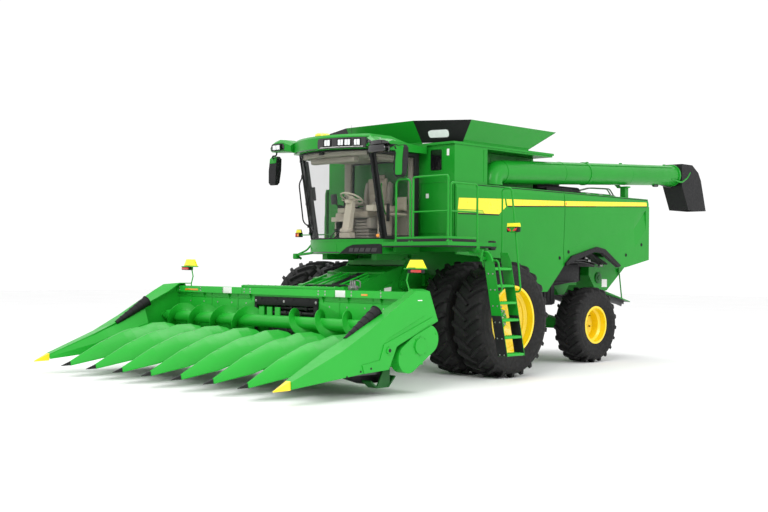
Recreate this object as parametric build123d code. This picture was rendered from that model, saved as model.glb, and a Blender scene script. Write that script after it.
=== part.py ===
"""Combine harvester with an eight-row corn head, in millimetres.

+Z is up, the front of the machine faces -Y and its left side is +X.  Stations along Y are measured from
the front axle while modelling; save() moves every piece by AXLE_Y, so that the origin is on the ground
under the middle of the whole machine's box.
"""

import os
from math import atan2, cos, degrees, hypot, pi, radians, sin, tan

from build123d import *

# ---------------------------------------------------------------- driving dimensions
ROW_PITCH = 762.0  # corn rows are 30 inches apart
ROWS = 8
FIT = 0.3  # running gap between pieces that seat on each other

# front wheels: twin tyres on one hub
FRONT_TYRE_R = 970.0
FRONT_TYRE_W = 620.0
FRONT_BEAD_R = 545.0
TRACK_INNER = 2 * ROW_PITCH  # distance of the inner tyre's middle from the centreline
TRACK_OUTER = 3 * ROW_PITCH
HUB_R = 175.0
HUB_SET = 19.0  # the axle flange reaches this far inside the inner tyre

# rear wheels: steered on king pins
WHEELBASE = 3780.0
REAR_TYRE_R = 735.0
REAR_TYRE_W = 560.0
REAR_BEAD_R = 342.0
REAR_TRACK = 1400.0
KINGPIN_X = 960.0
KINGPIN_R = 34.0
STEER_ARM = 260.0  # behind the king pin
STEER_ARM_Z = (-62.0, -30.0)  # below the wheel centre
TIE_ROD_DROP = 100.0  # below the wheel centre
BALL_R = 12.0

# threshing body and frame
SEP_W = 720.0  # half width
SEP_TOP = 2299.7
SEP_FRONT = -545.0
SEP_REAR = WHEELBASE + 660.0
RAIL_T = 90.0
RAIL_Z = (1500.0, 1700.0)
RAIL_END = WHEELBASE + 520.0

# rear hitch, a clevis for a 32 mm drawbar pin
HITCH_Y = WHEELBASE + 470.0
HITCH_Z = 925.0
HITCH_T = 22.0
HITCH_GAP = 56.0
HITCH_W = 120.0
HITCH_R = 16.5

# grain tank
TANK_W = 1572.0  # half width
TANK_FRONT = -400.0
TANK_REAR = 2400.0
TANK_FLOOR = 2300.0
RIM_Z = 3990.0
WALL = 30.0
LEDGE_Z = 3920.0  # underside of the lip that covers the folded auger
RECESS_X = 1120.0  # tank wall beside the folded auger
RECESS_Y = 480.0

# tank extension flaps
FLAP_T = 12.0
FLAP_HINGE_R = 14.0
FLAP_END_X = 840.0  # half width of the front and rear flaps
FLAP_END_RISE = 370.0
FLAP_END_OUT = 235.0
FLAP_SIDE_RISE = 345.0
FLAP_SIDE_OUT = 270.0
FLAP_FLARE = (100.0, 490.0)  # the side flaps' tops run past their feet, front and rear
FLAP_FRONT_Y = -430.0
FLAP_REAR_Y = 1965.0
FLAP_SIDE_X = 1560.0
FLAP_SIDE_Y = (-170.0, 1660.0)

# side panels
PANEL_X = 1650.0
PANEL_T = 34.0
PANEL_TOP = 3290.0
PANEL_FRONT = -430.0
PANEL_SEAM = WHEELBASE - 1090.0
PANEL_REAR = WHEELBASE + 1890.0
PANEL_FOOT = 1380.0
SEAM = 14.0
STRIPE_STEP = (2790.0, 2960.0)  # lower edge of the stripe band, ahead of and behind its step
CREASES = (  # station, top of the sunk field, height of the crease
    (PANEL_SEAM - 1270.0, 2700.0, 1915.0),
    (PANEL_SEAM, 2900.0, 2157.0),
    (WHEELBASE - 95.0, 2960.0, 2405.0),
    (WHEELBASE + 1350.0, 3010.0, 2657.0),
    (WHEELBASE + 1760.0, 3045.0, 3020.0),
)
ARCH = ((-1075.0, 1885.0), (-820.0, 1975.0), (-120.0, 2165.0), (130.0, 2150.0), (720.0, 1870.0))
ARCH_LIP = ((-1075.0, 1935.0), (-870.0, 2075.0), (-40.0, 2262.0), (230.0, 2225.0), (800.0, 1905.0))
HINGE_Z = 3284.0
HINGE_X = 1600.0

# rear hood and straw chopper
HOOD_W = 1572.0
HOOD_DECK_Z = 3230.0
HOOD_REAR = WHEELBASE + 1820.0
CHOP_W = 1000.0
HOOD_FOOT_Z = 2080.0
DRUM = (WHEELBASE + 1010.0, 1650.0)  # y, z of the chopper rotor

CHOP_KNIVES = 16

# cab
CAB_W = 900.0
CAB_SILL = 2300.0
CAB_UNDER = 2050.0
CAB_HEAD = 3800.0
CAB_FRONT = -1430.0  # foot of the windscreen pillars
CAB_LEAN = -300.0  # pillar tops stand this far ahead of their feet
CAB_REAR = -560.0
CAB_BULGE = 260.0  # the windscreen bows forward by this much
POST = 70.0
GLASS_T = 8.0
DOOR_HINGE = (CAB_W + 14.0, -634.0)  # x, y of the hinge line
DOOR_KNUCKLES = (2600.0, 3500.0)
ROOF_T = 245.0
ROOF_W = CAB_W + 100.0
ROOF_REAR = -480.0
WING = (  # x, front and rear station, underside and top of each rib
    (ROOF_W - 40, -1890.0, -1330.0, 3840.0, 4020.0),
    (ROOF_W + 110, -1925.0, -1450.0, 3868.0, 4078.0),
    (ROOF_W + 270, -1940.0, -1560.0, 3874.0, 4096.0),
    (ROOF_W + 400, -1935.0, -1640.0, 3872.0, 4070.0),
    (ROOF_W + 485, -1915.0, -1700.0, 3874.0, 4006.0),
)

# platform and ladder
DECK_X = TRACK_OUTER + 294.0
DECK_Z = CAB_SILL - 60.0
DECK_T = 60.0
DECK_FRONT = -1700.0
DECK_REAR = -470.0
RAIL_R = 17.0
RAIL_H = 1040.0
LADDER_Y = (-900.0, -450.0)
LADDER_TOP_X = DECK_X + 140.0
LADDER_FOOT_X = LADDER_TOP_X + 320.0
LADDER_TOP_Z = DECK_Z - 160.0
LADDER_FOOT_Z = 430.0
LADDER_DEPTH = 200.0
TREADS = 6
LADDER_PIVOT = (DECK_X + 70.0, -960.0)

# unloading auger, folded back along the left side
SPOUT_AXIS = (1420.0, 760.0)  # the tube swings about this upright line
AUGER_X = SPOUT_AXIS[0]
AUGER_R = 215.0
AUGER_ROOT_Z = 3548.0
AUGER_END = (7060.0, 3885.0)  # y, z of the tube's outer end
SPOUT_REACH = 8040.0
AUGER_SEAT_Z = 3312.0  # joint between the riser and the swinging tube

# feeder house and lift
PIVOT = (-760.0, 1550.0)  # y, z of the lift axis
PIVOT_R = 60.0
FEEDER_W = 700.0
FEEDER_DRUM_R = 300.0
LIFT_X = 850.0
LIFT_FOOT = (-420.0, 760.0)
LIFT_EYE = (-1950.0, 850.0)
LIFT_BORE_R = 62.0
LIFT_ROD_R = 34.0
EYE_PLAY = 12.0

# corn head
HEAD_BACK = -2790.0
HEAD_W = ROWS / 2 * ROW_PITCH - 48.0
SHEET_T = 14.0
BEAM_Z = (1350.0, 1460.0)
THROAT = (780.0, 560.0, 1250.0)  # half width, sill and head of the opening into the feeder house
SCREW_Y = -3110.0
SCREW_Z = 930.0
SCREW_TUBE_R = 100.0
SCREW_R = 232.0
SCREW_PITCH = 610.0
SCREW_END = HEAD_W - 140.0
SCREW_SHAFT_R = 30.0
TIP_Y = -5590.0
SNOUT_TIP_Z = 195.0
SNOUT_PEAK = (-4320.0, 745.0)
SHIELD_X = HEAD_W + FIT
SHIELD_T = 150.0
DRIVE_X = SHIELD_X + 189.7
SHOE_Z = 100.0
CREST_X = SHIELD_X - 120.0
SHIELD_OUT = (  # y, z corners of the end shield's outer face, from its tip over the top
    (TIP_Y + 202, 228.0),
    (TIP_Y + 202, 326.0),
    (-4500.0, 677.0),
    (-3986.0, 942.0),
    (-3235.0, 1380.0),
    (-3038.0, 1483.0),
    (-2747.0, 1480.0),
    (-2558.0, 1040.0),
    (-3441.0, 702.0),
    (-3596.0, 386.0),
    (-4080.0, 356.0),
)
SHIELD_CREST = (  # the same corners along the crest, with its thin underside
    (TIP_Y + 202, 300.0),
    (TIP_Y + 202, 330.0),
    (-4250.0, 806.0),
    (-3860.0, 1020.0),
    (-3100.0, 1370.0),
    (-2870.0, 1512.0),
    (-2600.0, 1510.0),
    (-2600.0, 1496.0),
    (-2872.0, 1498.0),
    (-3105.0, 1356.0),
    (-4255.0, 792.0),
)

AXLE_Y = -(SPOUT_REACH - 5640.0) / 2

PARTS = {}


# ---------------------------------------------------------------- small helpers
def box(x0, x1, y0, y1, z0, z1):
    """A box between two corners."""
    middle = Pos((x0 + x1) / 2, (y0 + y1) / 2, (z0 + z1) / 2)
    return middle * Box(abs(x1 - x0), abs(y1 - y0), abs(z1 - z0))


def slab_x(outline, x0, x1):
    """An outline of (y, z) corners, from x0 to x1."""
    face = make_face(Plane.YZ.offset(x0) * Polyline(*outline, close=True))
    return extrude(face, x1 - x0, dir=(1, 0, 0))


def slab_y(outline, y0, y1):
    """An outline of (x, z) corners, from y0 to y1."""
    plane = Plane(origin=(0, y0, 0), x_dir=(1, 0, 0), z_dir=(0, -1, 0))
    face = make_face(plane * Polyline(*outline, close=True))
    return extrude(face, y1 - y0, dir=(0, 1, 0))


def slab_z(outline, z0, z1):
    """An outline of (x, y) corners, from z0 to z1."""
    face = make_face(Plane.XY.offset(z0) * Polyline(*outline, close=True))
    return extrude(face, z1 - z0, dir=(0, 0, 1))


def rod(start, end, radius):
    """A round bar between two points."""
    a, b = Vector(*start), Vector(*end)
    plane = Plane(origin=a, z_dir=b - a)
    return plane * Cylinder(radius, (b - a).length, align=(Align.CENTER, Align.CENTER, Align.MIN))


def pipe(points, radius, bend):
    """A bent round tube through corner points."""
    path = FilletPolyline(*points, radius=bend)
    section = Plane(origin=path @ 0, z_dir=path % 0) * Circle(radius)
    return sweep(section, path)


def turned(profile, y=0.0, z=0.0):
    """A closed (x, r) outline turned about the line through (y, z) along X."""
    face = make_face(Polyline(*[(x, r, 0) for x, r in profile], close=True))
    return Pos(0, y, z) * revolve(face, Axis.X)


def flip(shape):
    """The same piece on the other side of the machine."""
    return mirror(shape, about=Plane.YZ)


def both(shape):
    return [shape, flip(shape)]


def join(*shapes):
    """Fuses touching shapes into one solid."""
    result = shapes[0]
    for shape in shapes[1:]:
        result = result + shape
    return result


def save(name, *shapes):
    """Writes one node, which may hold several solids."""
    solids = [s for shape in shapes for s in shape.solids()]
    PARTS[name] = Pos(0, AXLE_Y, 0) * Compound(solids)
    export_step(PARTS[name], f"parts/{name}.step")


# ---------------------------------------------------------------- wheels
def tyre(x, z, radius, width, bead_r):
    """A tyre with rounded shoulders and bulged side walls, seated on a rim of bead_r."""
    half = width / 2
    bead = half * 0.80
    profile = [
        (-bead, bead_r),
        (-bead, bead_r + 30),
        (-half * 0.93, bead_r + (radius - bead_r) * 0.22),
        (-half, bead_r + (radius - bead_r) * 0.50),
        (-half * 0.97, bead_r + (radius - bead_r) * 0.78),
        (-half * 0.90, radius * 0.985),
        (-half * 0.70, radius),
    ]
    profile += [(-px, r) for px, r in reversed(profile)]
    return Pos(x, 0, 0) * turned(profile, 0, z)


def rim_barrel(x, z, width, bead_r, outward):
    """Rim with flanges at the beads and a well; outward is +1 for the machine's left side."""
    seat = width / 2 * 0.80 + FIT
    flange, gauge, well = 18, 14, 45
    top = bead_r - FIT
    profile = [
        (-seat - flange, top + 26),
        (-seat - FIT, top + 26),
        (-seat - FIT, top),
        (-seat * 0.55, top),
        (-seat * 0.40, top - well),
        (seat * 0.40, top - well),
        (seat * 0.55, top),
        (seat + FIT, top),
        (seat + FIT, top + 26),
        (seat + flange, top + 26),
        (seat + flange, top - gauge),
        (seat * 0.58, top - gauge),
        (seat * 0.43, top - well - gauge),
        (-seat * 0.43, top - well - gauge),
        (-seat * 0.58, top - gauge),
        (-seat - flange, top - gauge),
    ]
    return Pos(x, 0, 0) * turned([(px * outward, r) for px, r in profile], 0, z)


def dish(x_rim, x_hub, r_rim, r_hub, gauge, z):
    """A coned wheel disc from the hub flange out to the rim."""
    side = 1 if x_rim > x_hub else -1
    profile = [
        (x_hub, 0),
        (x_hub, r_hub),
        (x_rim, r_rim),
        (x_rim + side * gauge, r_rim),
        (x_hub + side * gauge, r_hub),
        (x_hub + side * gauge, 0),
    ]
    return turned(profile, 0, z)


def front_wheels():
    z = FRONT_TYRE_R
    well_r = FRONT_BEAD_R - 45 - 14 + 6
    hub_in = TRACK_INNER - FRONT_TYRE_W / 2 + HUB_SET + FIT
    tyres = [tyre(x, z, FRONT_TYRE_R, FRONT_TYRE_W, FRONT_BEAD_R) for x in (TRACK_INNER, TRACK_OUTER)]
    rims = join(
        rim_barrel(TRACK_INNER, z, FRONT_TYRE_W, FRONT_BEAD_R, 1),
        dish(TRACK_INNER + 90, TRACK_INNER + 20, well_r, 260, 16, z),
        rim_barrel(TRACK_OUTER, z, FRONT_TYRE_W, FRONT_BEAD_R, 1),
        dish(TRACK_OUTER + 70, TRACK_OUTER - 90, well_r, 260, 16, z),
        Pos(0, 0, z) * rod((hub_in, 0, 0), (TRACK_OUTER - 20, 0, 0), HUB_R),
        Pos(0, 0, z) * rod((TRACK_OUTER - 30, 0, 0), (TRACK_OUTER + 30, 0, 0), 105),
    )
    save("left_dual_tyres", *tyres)
    save("left_dual_rims", rims)
    save("right_dual_tyres", *[flip(t) for t in tyres])
    save("right_dual_rims", flip(rims))


def knuckle():
    """Steering knuckle: king pin barrel, stub axle and steering arm, in the wheel's place."""
    z = REAR_TYRE_R
    barrel = Pos(KINGPIN_X, WHEELBASE, z) * Cylinder(78, 190)
    bore = Pos(KINGPIN_X, WHEELBASE, z) * Cylinder(KINGPIN_R + FIT, 260)
    stub = rod((KINGPIN_X + 40, WHEELBASE, z), (REAR_TRACK - 110, WHEELBASE, z), 62)
    flange = rod((REAR_TRACK - 150, WHEELBASE, z), (REAR_TRACK - 120, WHEELBASE, z), 120)
    low, high = z + STEER_ARM_Z[0], z + STEER_ARM_Z[1]
    arm = slab_z(
        [
            (KINGPIN_X - 60, WHEELBASE),
            (KINGPIN_X + 60, WHEELBASE),
            (KINGPIN_X + 32, WHEELBASE + STEER_ARM),
            (KINGPIN_X - 32, WHEELBASE + STEER_ARM),
        ],
        low,
        high,
    )
    tip = Pos(KINGPIN_X, WHEELBASE + STEER_ARM, (low + high) / 2) * Cylinder(32, high - low)
    eye = Pos(KINGPIN_X, WHEELBASE + STEER_ARM, z) * Cylinder(BALL_R, 300)
    return join(barrel, stub, flange, arm, tip) - bore - eye


def rear_wheels():
    z = REAR_TYRE_R
    rubber = Pos(0, WHEELBASE, 0) * tyre(REAR_TRACK, z, REAR_TYRE_R, REAR_TYRE_W, REAR_BEAD_R)
    disc_x = REAR_TRACK - 110
    rim = join(
        rim_barrel(REAR_TRACK, z, REAR_TYRE_W, REAR_BEAD_R, 1),
        dish(REAR_TRACK - 60, disc_x, REAR_BEAD_R - 53, 170, 14, z),
        Pos(0, 0, z) * rod((disc_x + FIT, 0, 0), (disc_x + 75, 0, 0), 92),
    )
    rim = Pos(0, WHEELBASE, 0) * rim
    save("left_rear_tyre", rubber)
    save("left_rear_rim", rim)
    save("right_rear_tyre", flip(rubber))
    save("right_rear_rim", flip(rim))
    left = knuckle()
    save("left_knuckle", left)
    save("right_knuckle", flip(left))
    x, y, low = KINGPIN_X, WHEELBASE + STEER_ARM, z - TIE_ROD_DROP
    bar = rod((-x, y, low), (x, y, low), 21)
    ends = both(Pos(x, y, low) * Cylinder(34, 62))
    pins = both(rod((x, y, low), (x, y, z + STEER_ARM_Z[1] + 14), BALL_R - FIT))
    save("tie_rod", join(bar, *ends, *pins))


# ---------------------------------------------------------------- frame and axles
def frame():
    rail = box(SEP_W + FIT, SEP_W + RAIL_T, -290, RAIL_END, *RAIL_Z)
    hanger = box(SEP_W + FIT, SEP_W + RAIL_T, -160, 160, FRONT_TYRE_R + 140 + FIT, RAIL_Z[0])
    rear_leg = slab_x(
        [
            (WHEELBASE - 260, RAIL_Z[0]),
            (WHEELBASE + 260, RAIL_Z[0]),
            (WHEELBASE + 110, 1330),
            (WHEELBASE - 110, 1330),
        ],
        SEP_W + FIT,
        SEP_W + RAIL_T,
    )
    cross = box(-SEP_W - RAIL_T, SEP_W + RAIL_T, WHEELBASE - 100, WHEELBASE + 100, 1310, 1400)
    saddle = slab_y([(-150, 1311), (150, 1311), (110, 900), (-110, 900)], WHEELBASE - 190, WHEELBASE - 140)
    saddle_rear = Pos(0, 330, 0) * saddle
    caps = box(-140, 140, WHEELBASE - 190, WHEELBASE + 190, 1290, 1330)
    ears = []
    for z in (HITCH_Z, HITCH_Z + HITCH_GAP + HITCH_T):
        tongue = box(-HITCH_W / 2, HITCH_W / 2, WHEELBASE + 150, HITCH_Y, z, z + HITCH_T)
        ears.append(tongue + Pos(0, HITCH_Y, z + HITCH_T / 2) * Cylinder(HITCH_W / 2, HITCH_T))
    web = box(-HITCH_W / 2, HITCH_W / 2, WHEELBASE + 180, WHEELBASE + 260, HITCH_Z, HITCH_Z + HITCH_GAP + 2 * HITCH_T)
    main = join(*both(rail), *both(hanger), *both(rear_leg), cross, saddle, saddle_rear, caps, *ears, web)
    pivot_bore = rod((0, WHEELBASE - 260, 960), (0, WHEELBASE + 189, 960), 45 + FIT)
    pin_bore = Pos(0, HITCH_Y, HITCH_Z + 100) * Cylinder(HITCH_R, 400)
    save("main_frame", main - pivot_bore - pin_bore)


def front_axle():
    z = FRONT_TYRE_R
    tube = rod((-800, 0, z), (800, 0, z), 130)
    drive = slab_x([(-230, z + 330), (230, z + 330), (330, z), (230, z - 330), (-230, z - 330), (-330, z)], 812, 1150)
    flange = rod((1150, 0, z), (TRACK_INNER - FRONT_TYRE_W / 2 + HUB_SET, 0, z), 190)
    gearbox = slab_x([(-260, z + 170), (260, z + 170), (260, z - 200), (-260, z - 200)], -330, 330)
    ears = []
    for x in (LIFT_X - 100, LIFT_X + 70):
        outline = [(-60, z), (-200, z - 60), (LIFT_FOOT[0] - 70, LIFT_FOOT[1] + 50)]
        outline += [(LIFT_FOOT[0] - 70, LIFT_FOOT[1] - 60), (LIFT_FOOT[0] + 60, LIFT_FOOT[1] - 70), (-60, z - 300)]
        ears.append(slab_x(outline, x, x + 30))
    pin = rod((LIFT_X - 100, *LIFT_FOOT), (LIFT_X + 100, *LIFT_FOOT), 30)
    pad = box(SEP_W, SEP_W + RAIL_T, -150, 150, z, z + 140)
    left = join(drive, flange, *ears, pin, pad)
    save("front_axle", join(tube, gearbox, left, flip(left)))


def rear_axle():
    z = REAR_TYRE_R
    beam = slab_y(
        [
            (-KINGPIN_X + 130, z - 80),
            (-300, z - 40),
            (300, z - 40),
            (KINGPIN_X - 130, z - 80),
            (KINGPIN_X - 130, z + 80),
            (300, z + 190),
            (-300, z + 190),
            (-KINGPIN_X + 130, z + 80),
        ],
        WHEELBASE - 100,
        WHEELBASE + 100,
    )
    pivot = rod((0, WHEELBASE - 250, 960), (0, WHEELBASE + 189 - FIT, 960), 45)
    boss = rod((0, WHEELBASE - 130, 960), (0, WHEELBASE + 130, 960), 100)
    arms = []
    for side in (1, -1):
        x = side * KINGPIN_X
        for dz in (-1, 1):
            arm = box(x - side * 150, x, WHEELBASE - 60, WHEELBASE + 60, z + dz * 100, z + dz * 135)
            arms.append(arm)
            arms.append(Pos(x, WHEELBASE, z + dz * 117.5) * Cylinder(60, 35))
        arms.append(box(x - side * 150, x - side * 110, WHEELBASE - 60, WHEELBASE + 60, z - 134, z + 134))
        arms.append(Pos(x, WHEELBASE, z) * Cylinder(KINGPIN_R, 300))
    save("rear_axle", join(beam, pivot, boss, *arms))


def separator():
    profile = [
        (-700, 1985),
        (-700, 1870),
        (-420, 1870),
        (-420, 1250),
        (200, 1180),
        (900, 960),
        (WHEELBASE - 880, 960),
        (WHEELBASE - 480, 1420),
        (WHEELBASE + 620, 1560),
        (SEP_REAR, SEP_TOP),
        (SEP_FRONT, SEP_TOP),
        (SEP_FRONT, 1985),
    ]
    body = slab_x(profile, -SEP_W, SEP_W)
    y, z = PIVOT
    cheek = slab_x([(y - 90, z - 60), (y - 90, z + 60), (-700, 1900), (-410, 1900), (-410, 1300)], FEEDER_W + 6, FEEDER_W + 46)
    pin = rod((FEEDER_W + 6, y, z), (FEEDER_W + 66, y, z), PIVOT_R)
    tie = box(SEP_W - 20, FEEDER_W + 46, -520, -300, 1500, 1900)
    cab_rail = box(560, 680, CAB_FRONT + 60, -600, 1952, CAB_UNDER - FIT)
    save("separator_housing", join(body, *[s for p in (cheek, pin, tie, cab_rail) for s in both(p)]))
    save("engine", box(-520, 520, TANK_REAR + 500, SEP_REAR - 190, SEP_TOP + FIT, 3150))


# ---------------------------------------------------------------- grain tank
def grain_tank():
    outer = join(
        box(-TANK_W, TANK_W, TANK_FRONT, TANK_REAR, TANK_FLOOR, RIM_Z),
        box(-TANK_W - 20, TANK_W + 20, TANK_FRONT - 50, TANK_REAR + 20, RIM_Z - 40, RIM_Z),
    )
    recess = box(RECESS_X, TANK_W + 60, RECESS_Y, TANK_REAR + 60, TANK_FLOOR - 10, LEDGE_Z)
    w = WALL
    inner_right = -TANK_W + w
    hopper = slab_y(
        [
            (inner_right, RIM_Z + 20),
            (inner_right, 3050),
            (-500, 2400),
            (500, 2400),
            (RECESS_X - w, 2900),
            (RECESS_X - w, RIM_Z + 20),
        ],
        TANK_FRONT + w,
        TANK_REAR - w,
    )
    bay = box(RECESS_X - w - 5, TANK_W - w, TANK_FRONT + w, RECESS_Y - w, 2950, RIM_Z + 20)
    lip = box(RECESS_X - w - 5, TANK_W - 140, RECESS_Y - w - 5, TANK_REAR - w, LEDGE_Z + w, RIM_Z + 20)
    deck = box(-TANK_W + 10, TANK_W - 150, FLAP_REAR_Y - 30, TANK_REAR - 10, RIM_Z - 30, RIM_Z)
    save("grain_tank", join(outer - recess - hopper - bay - lip, deck))


def flaps():
    """Four flaps round the rim, leaning outwards, and the folding corner panels between them."""
    z0 = RIM_Z + FIT + FLAP_HINGE_R
    n, reach = FLAP_T, FLAP_FLARE
    (y0, y1), x0 = FLAP_SIDE_Y, FLAP_SIDE_X
    x1, z_side, z_end = x0 + FLAP_SIDE_OUT, z0 + FLAP_SIDE_RISE, z0 + FLAP_END_RISE

    def end_flap(y, sign):
        top = y + sign * FLAP_END_OUT
        sheet = slab_x([(y, z0), (top, z_end), (top - sign * n, z_end), (y - sign * n, z0)], -FLAP_END_X, FLAP_END_X)
        return join(sheet, rod((-FLAP_END_X, y, z0), (FLAP_END_X, y, z0), FLAP_HINGE_R))

    low = [(x0, y0, z0), (x0, y1, z0), (x0 - n, y1, z0), (x0 - n, y0, z0)]
    high = [(x1, y0 - reach[0], z_side), (x1, y1 + reach[1], z_side)]
    high += [(x1 - n, y1 + reach[1], z_side), (x1 - n, y0 - reach[0], z_side)]
    sheet = loft([make_face(Polyline(*ring, close=True)) for ring in (low, high)], ruled=True)
    left = join(sheet, rod((x0, y0, z0), (x0, y1, z0), FLAP_HINGE_R))
    save("front_flap", end_flap(FLAP_FRONT_Y, -1))
    save("rear_flap", end_flap(FLAP_REAR_Y, 1))
    save("left_flap", left)
    save("right_flap", flip(left))

    corners = []
    edge, thick = FLAP_END_X + FIT, 8
    for y_end, y_side, sign, flare in ((FLAP_FRONT_Y, y0, -1, reach[0]), (FLAP_REAR_Y, y1, 1, reach[1])):
        step = sign * (thick + 1.4 * FIT)
        a = (edge, y_end, z0)
        b = (x0, y_side + step, z0)
        c = (x1, y_side + sign * flare + step, z_side)
        d = (edge, y_end + sign * FLAP_END_OUT, z_end)
        inward = (0, -sign, 0)
        webs = [extrude(make_face(Polyline(*ring, close=True)), thick, dir=inward) for ring in ((a, b, c), (a, c, d))]
        corners += both(join(*webs))
    save("tank_corner_panels", *corners)


# ---------------------------------------------------------------- outer panels



def side_panels():
    """Four hinged panels with a stripe band, a crease that climbs to the rear and a flared wheel arch."""
    inner = PANEL_X - PANEL_T
    skin = [(inner, PANEL_FOOT), (PANEL_X + 12, PANEL_FOOT), (PANEL_X + 12, 3150), (HINGE_X + 24, PANEL_TOP)]
    skin += [(HINGE_X - 10, PANEL_TOP), (HINGE_X - 10, PANEL_TOP - 34), (inner, PANEL_TOP - 50)]
    band = slab_y(skin, PANEL_FRONT, PANEL_REAR)
    low, high = STRIPE_STEP
    stripe = [
        (PANEL_FRONT - 10, low),
        (low_y := 680, low),
        (low_y + 260, high),
        (PANEL_REAR + 10, high + 170),
        (PANEL_REAR + 10, 3400),
        (PANEL_FRONT - 10, 3400),
    ]
    band = band - slab_x(stripe, PANEL_X, PANEL_X + 60)
    rings = []
    for y, z_top, z_crease in CREASES:
        x_top, depth = PANEL_X + 14, 30.0
        z_foot = z_crease - (depth + 40) / 0.075
        ring = [(x_top, z_top), (x_top + 40, z_top), (x_top + 40, z_foot), (PANEL_X + 14 - depth, z_crease)]
        rings.append(make_face(Polyline(*[(x, y, z) for x, z in ring], close=True)))
    for a, b in zip(rings, rings[1:]):
        band = band - loft([a, b], ruled=True)

    far = 400
    front = slab_x(
        [
            (PANEL_FRONT, PANEL_TOP + 10),
            (PANEL_SEAM - SEAM / 2, PANEL_TOP + 10),
            (PANEL_SEAM - SEAM / 2, 1890),
            (PANEL_SEAM - 540, 1400),
            (1500, 1400),
            (1180, 1700),
            (820, 2000),
            (PANEL_FRONT, 2060),
        ],
        PANEL_X - far,
        PANEL_X + far,
    )
    rear = slab_x(
        [
            (PANEL_SEAM + SEAM / 2, PANEL_TOP + 10),
            (PANEL_REAR, PANEL_TOP + 10),
            (PANEL_REAR, 2030),
            (WHEELBASE + 1020, 1870),
            *[(WHEELBASE + y, z) for y, z in reversed(ARCH)],
            (PANEL_SEAM + SEAM / 2, 1890),
        ],
        PANEL_X - far,
        PANEL_X + far,
    )
    lip = [(WHEELBASE + y, z) for y, z in ARCH] + [(WHEELBASE + y, z) for y, z in reversed(ARCH_LIP)]
    flare = slab_x(lip, PANEL_X - 20, PANEL_X + 46)

    def lugs(stations):
        return [box(TANK_W + FIT, HINGE_X - 5, y - 40, y + 40, HINGE_Z - 26, HINGE_Z) for y in stations]

    left_front = join(band & front, *lugs((-200, 1150, PANEL_SEAM - 190)))
    left_rear = join(band & rear, flare, *lugs((PANEL_SEAM + 260, WHEELBASE + 420, PANEL_REAR - 270)))
    save("left_front_panel", left_front)
    save("left_rear_panel", left_rear)
    save("right_front_panel", flip(left_front))
    save("right_rear_panel", flip(left_rear))


def rear_hood():
    deck = box(-HOOD_W, HOOD_W, TANK_REAR + 60, HOOD_REAR, HOOD_DECK_Z - 40, HOOD_DECK_Z)
    wall = box(-HOOD_W, HOOD_W, HOOD_REAR - 40, HOOD_REAR, 2080, HOOD_DECK_Z)
    legs = both(box(SEP_W - 60, SEP_W + 40, SEP_REAR + FIT, HOOD_REAR - 20, HOOD_FOOT_Z, 2200))
    posts = both(box(SEP_W - 60, SEP_W + 40, SEP_REAR + FIT, SEP_REAR + 110, 2190, HOOD_DECK_Z - 20))
    saddle_y, saddle_z = HOOD_REAR - 500, AUGER_ROOT_Z + (HOOD_REAR - 500 - SPOUT_AXIS[1]) * auger_slope() - AUGER_R - 12
    saddle = join(
        box(AUGER_X - 60, AUGER_X + 60, saddle_y - 60, saddle_y + 60, HOOD_DECK_Z - 10, saddle_z - 40),
        slab_y(
            [
                (AUGER_X - 190, saddle_z + 60),
                (AUGER_X - 110, saddle_z - 20),
                (AUGER_X + 110, saddle_z - 20),
                (AUGER_X + 110, saddle_z - 50),
                (AUGER_X - 130, saddle_z - 50),
                (AUGER_X - 230, saddle_z + 50),
            ],
            saddle_y - 60,
            saddle_y + 60,
        ),
    )
    trough_y = SPOUT_AXIS[1] + AUGER_R
    rails = [
        box(TANK_W - 17, TANK_W, trough_y, HOOD_REAR, HOOD_DECK_Z - 40, HINGE_Z),
        box(RECESS_X + FIT, TANK_W, trough_y, TANK_REAR + 61, HOOD_DECK_Z - 40, HOOD_DECK_Z),
        box(-TANK_W, -TANK_W + 17, TANK_REAR + 25, HOOD_REAR, HOOD_DECK_Z - 40, HINGE_Z),
    ]
    save("rear_hood", join(deck, wall, *legs, *posts, saddle, *rails))


def auger_slope():
    """Rise of the unloading auger for each millimetre of length."""
    return (AUGER_END[1] - AUGER_ROOT_Z) / (AUGER_END[0] - SPOUT_AXIS[1])


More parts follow.
